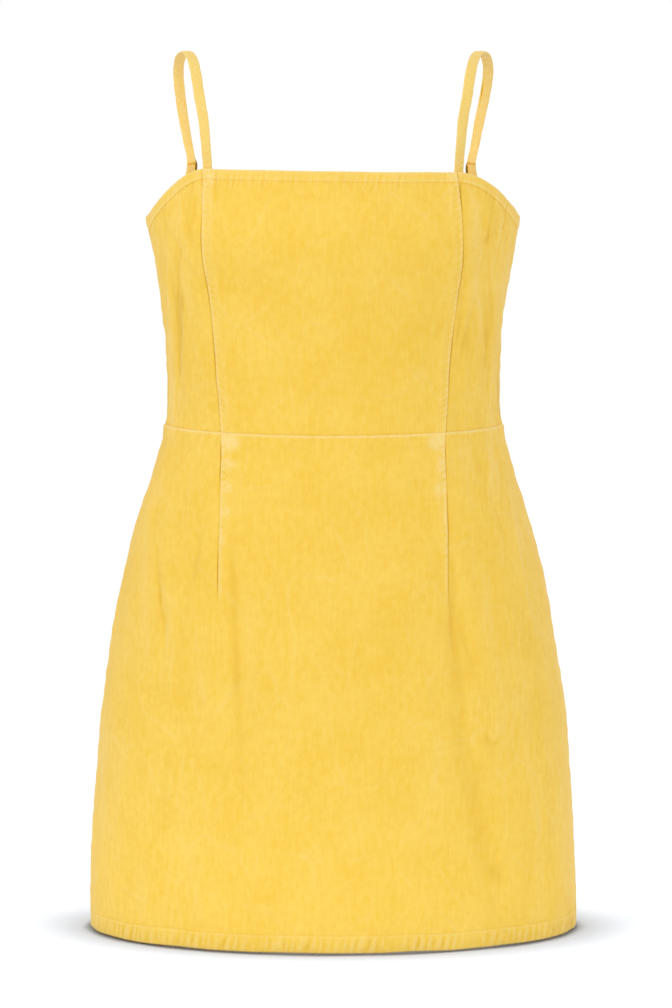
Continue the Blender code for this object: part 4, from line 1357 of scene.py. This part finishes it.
# ---- Stage
FLOOR = -0.7512
FLOOR_REACH = 0.46
FLOOR_SIDES = 96
FLOOR_COLOUR = (0.412, 0.431, 0.465, 1.0)
WHITE = (1.0, 1.0, 1.0, 1.0)
CAMERA_BACK, CAMERA_HEIGHT, CAMERA_LENS = 4.6, 0.085, 192.92
ROOM_LIGHT = 0.79
AIM = Vector((0.0023, 0.0, -0.3850))
HIGH_AIM = Vector((0.0, 0.0, -0.1900))
STRAP_AIM = Vector((-0.02, 0.10, -0.03))
GRID = 90.0                 # degrees: how wide a light with a grid shines


def make_floor():
    """A wide plain floor with its own light from above, so that only the hem's soft shadow shows on it."""
    made = Shading("plain_floor")
    made.put(made.shader, "Base Color", FLOOR_COLOUR)
    made.put(made.shader, "Roughness", 1.0)
    made.put(made.shader, "Specular IOR Level", 0.0)
    turns = [math.tau * k / FLOOR_SIDES for k in range(FLOOR_SIDES)]
    rim = [(FLOOR_REACH * math.cos(turn), FLOOR_REACH * math.sin(turn), FLOOR) for turn in turns]
    floor = add_mesh("floor", rim, [tuple(range(FLOOR_SIDES))], [made.material])
    return floor


def make_light(name, place, size, energy, aim=AIM, spread=180.0, only=()):
    """A soft light, with a grid where its spread is under 180 degrees, that may fall on some pieces only."""
    data = bpy.data.lights.new(name, "AREA")
    data.shape, data.size, data.size_y, data.energy = "ELLIPSE", size[0], size[1], energy
    data.spread = math.radians(spread)
    light = bpy.data.objects.new(name, data)
    light.location = place
    light.rotation_euler = (aim - light.location).to_track_quat("-Z", "Y").to_euler()
    bpy.context.scene.collection.objects.link(light)
    if only:
        lit = bpy.data.collections.new(name + " lights")
        for piece in only:
            lit.objects.link(piece)
        light.light_linking.receiver_collection = lit


def make_world(strength):
    """Even white studio light, and a white surround."""
    world = bpy.data.worlds.new("studio")
    bpy.context.scene.world = world
    world.use_nodes = True
    tree = world.node_tree
    path = tree.nodes.new("ShaderNodeLightPath")
    level = tree.nodes.new("ShaderNodeMapRange")
    level.inputs["To Min"].default_value = strength
    level.inputs["To Max"].default_value = 1.0
    tree.links.new(path.outputs["Is Camera Ray"], level.inputs["Value"])
    tree.links.new(level.outputs["Result"], tree.nodes["Background"].inputs["Strength"])
    tree.nodes["Background"].inputs["Color"].default_value = WHITE


def make_camera():
    """A long lens a little above the dress, square to its front."""
    data = bpy.data.cameras.new("camera")
    data.lens, data.sensor_width = CAMERA_LENS, 36.0
    camera = bpy.data.objects.new("camera", data)
    camera.location = (AIM.x, -CAMERA_BACK, CAMERA_HEIGHT)
    camera.rotation_euler = (AIM - camera.location).to_track_quat("-Z", "Y").to_euler()
    bpy.context.scene.collection.objects.link(camera)
    bpy.context.scene.camera = camera


# ---- The whole dress
def show(piece, *nodes):
    """Fasten a piece to the dress, in its cloth, in place of its plain solids."""
    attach(piece, "root")
    if nodes:
        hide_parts(*nodes)


def make_dress():
    """Every visible piece. Returns all the pieces and the straps."""
    cloth, wrong, sewing = needlecord(), wrong_side(), thread()
    plan = panel_plan()
    panels = {name: make_panel(name, panel, [cloth, wrong]) for name, panel in plan.items()}
    stitching = make_stitching(plan, sewing)
    straps = [make_strap("cloth_strap_" + name, side, [cloth]) for name, side in SIDES]
    tacks = [make_bar_tack("bar_tack_" + name, side, sewing) for name, side in SIDES]
    for name, panel in panels.items():
        show(panel, name)
        show(stitching[name])
    for name, strap, tack in zip(("strap_left", "strap_right"), straps, tacks):
        show(strap, name)
        show(tack)
    return [*panels.values(), *stitching.values(), *straps, *tacks], straps + tacks


dress, dress_straps = make_dress()
plain_floor = make_floor()
dress_body = [piece for piece in dress if piece not in dress_straps]
make_world(ROOM_LIGHT)
make_light("key", (-1.64, -1.46, 1.10), (1.4, 1.4), 3.55, HIGH_AIM, GRID)
make_light("fill", (1.28, -2.05, 0.40), (1.2, 1.2), 1.8, HIGH_AIM, GRID, only=[*dress_body, plain_floor])
make_light("back", (0.9, 3.0, 1.1), (1.4, 1.4), 20.0, only=dress)
make_light("strap fill", (1.28, -2.05, 0.40), (1.2, 1.2), 0.8, HIGH_AIM, GRID, only=dress_straps)
make_light("neck card", (-0.02, -0.05, -0.12), (0.16, 0.03), 0.068, STRAP_AIM, only=dress_straps)
make_light("top", (0.0, -0.01, 1.40), (0.30, 0.20), 80.0, only=[plain_floor])
make_camera()
bpy.context.scene.view_settings.view_transform = "Standard"
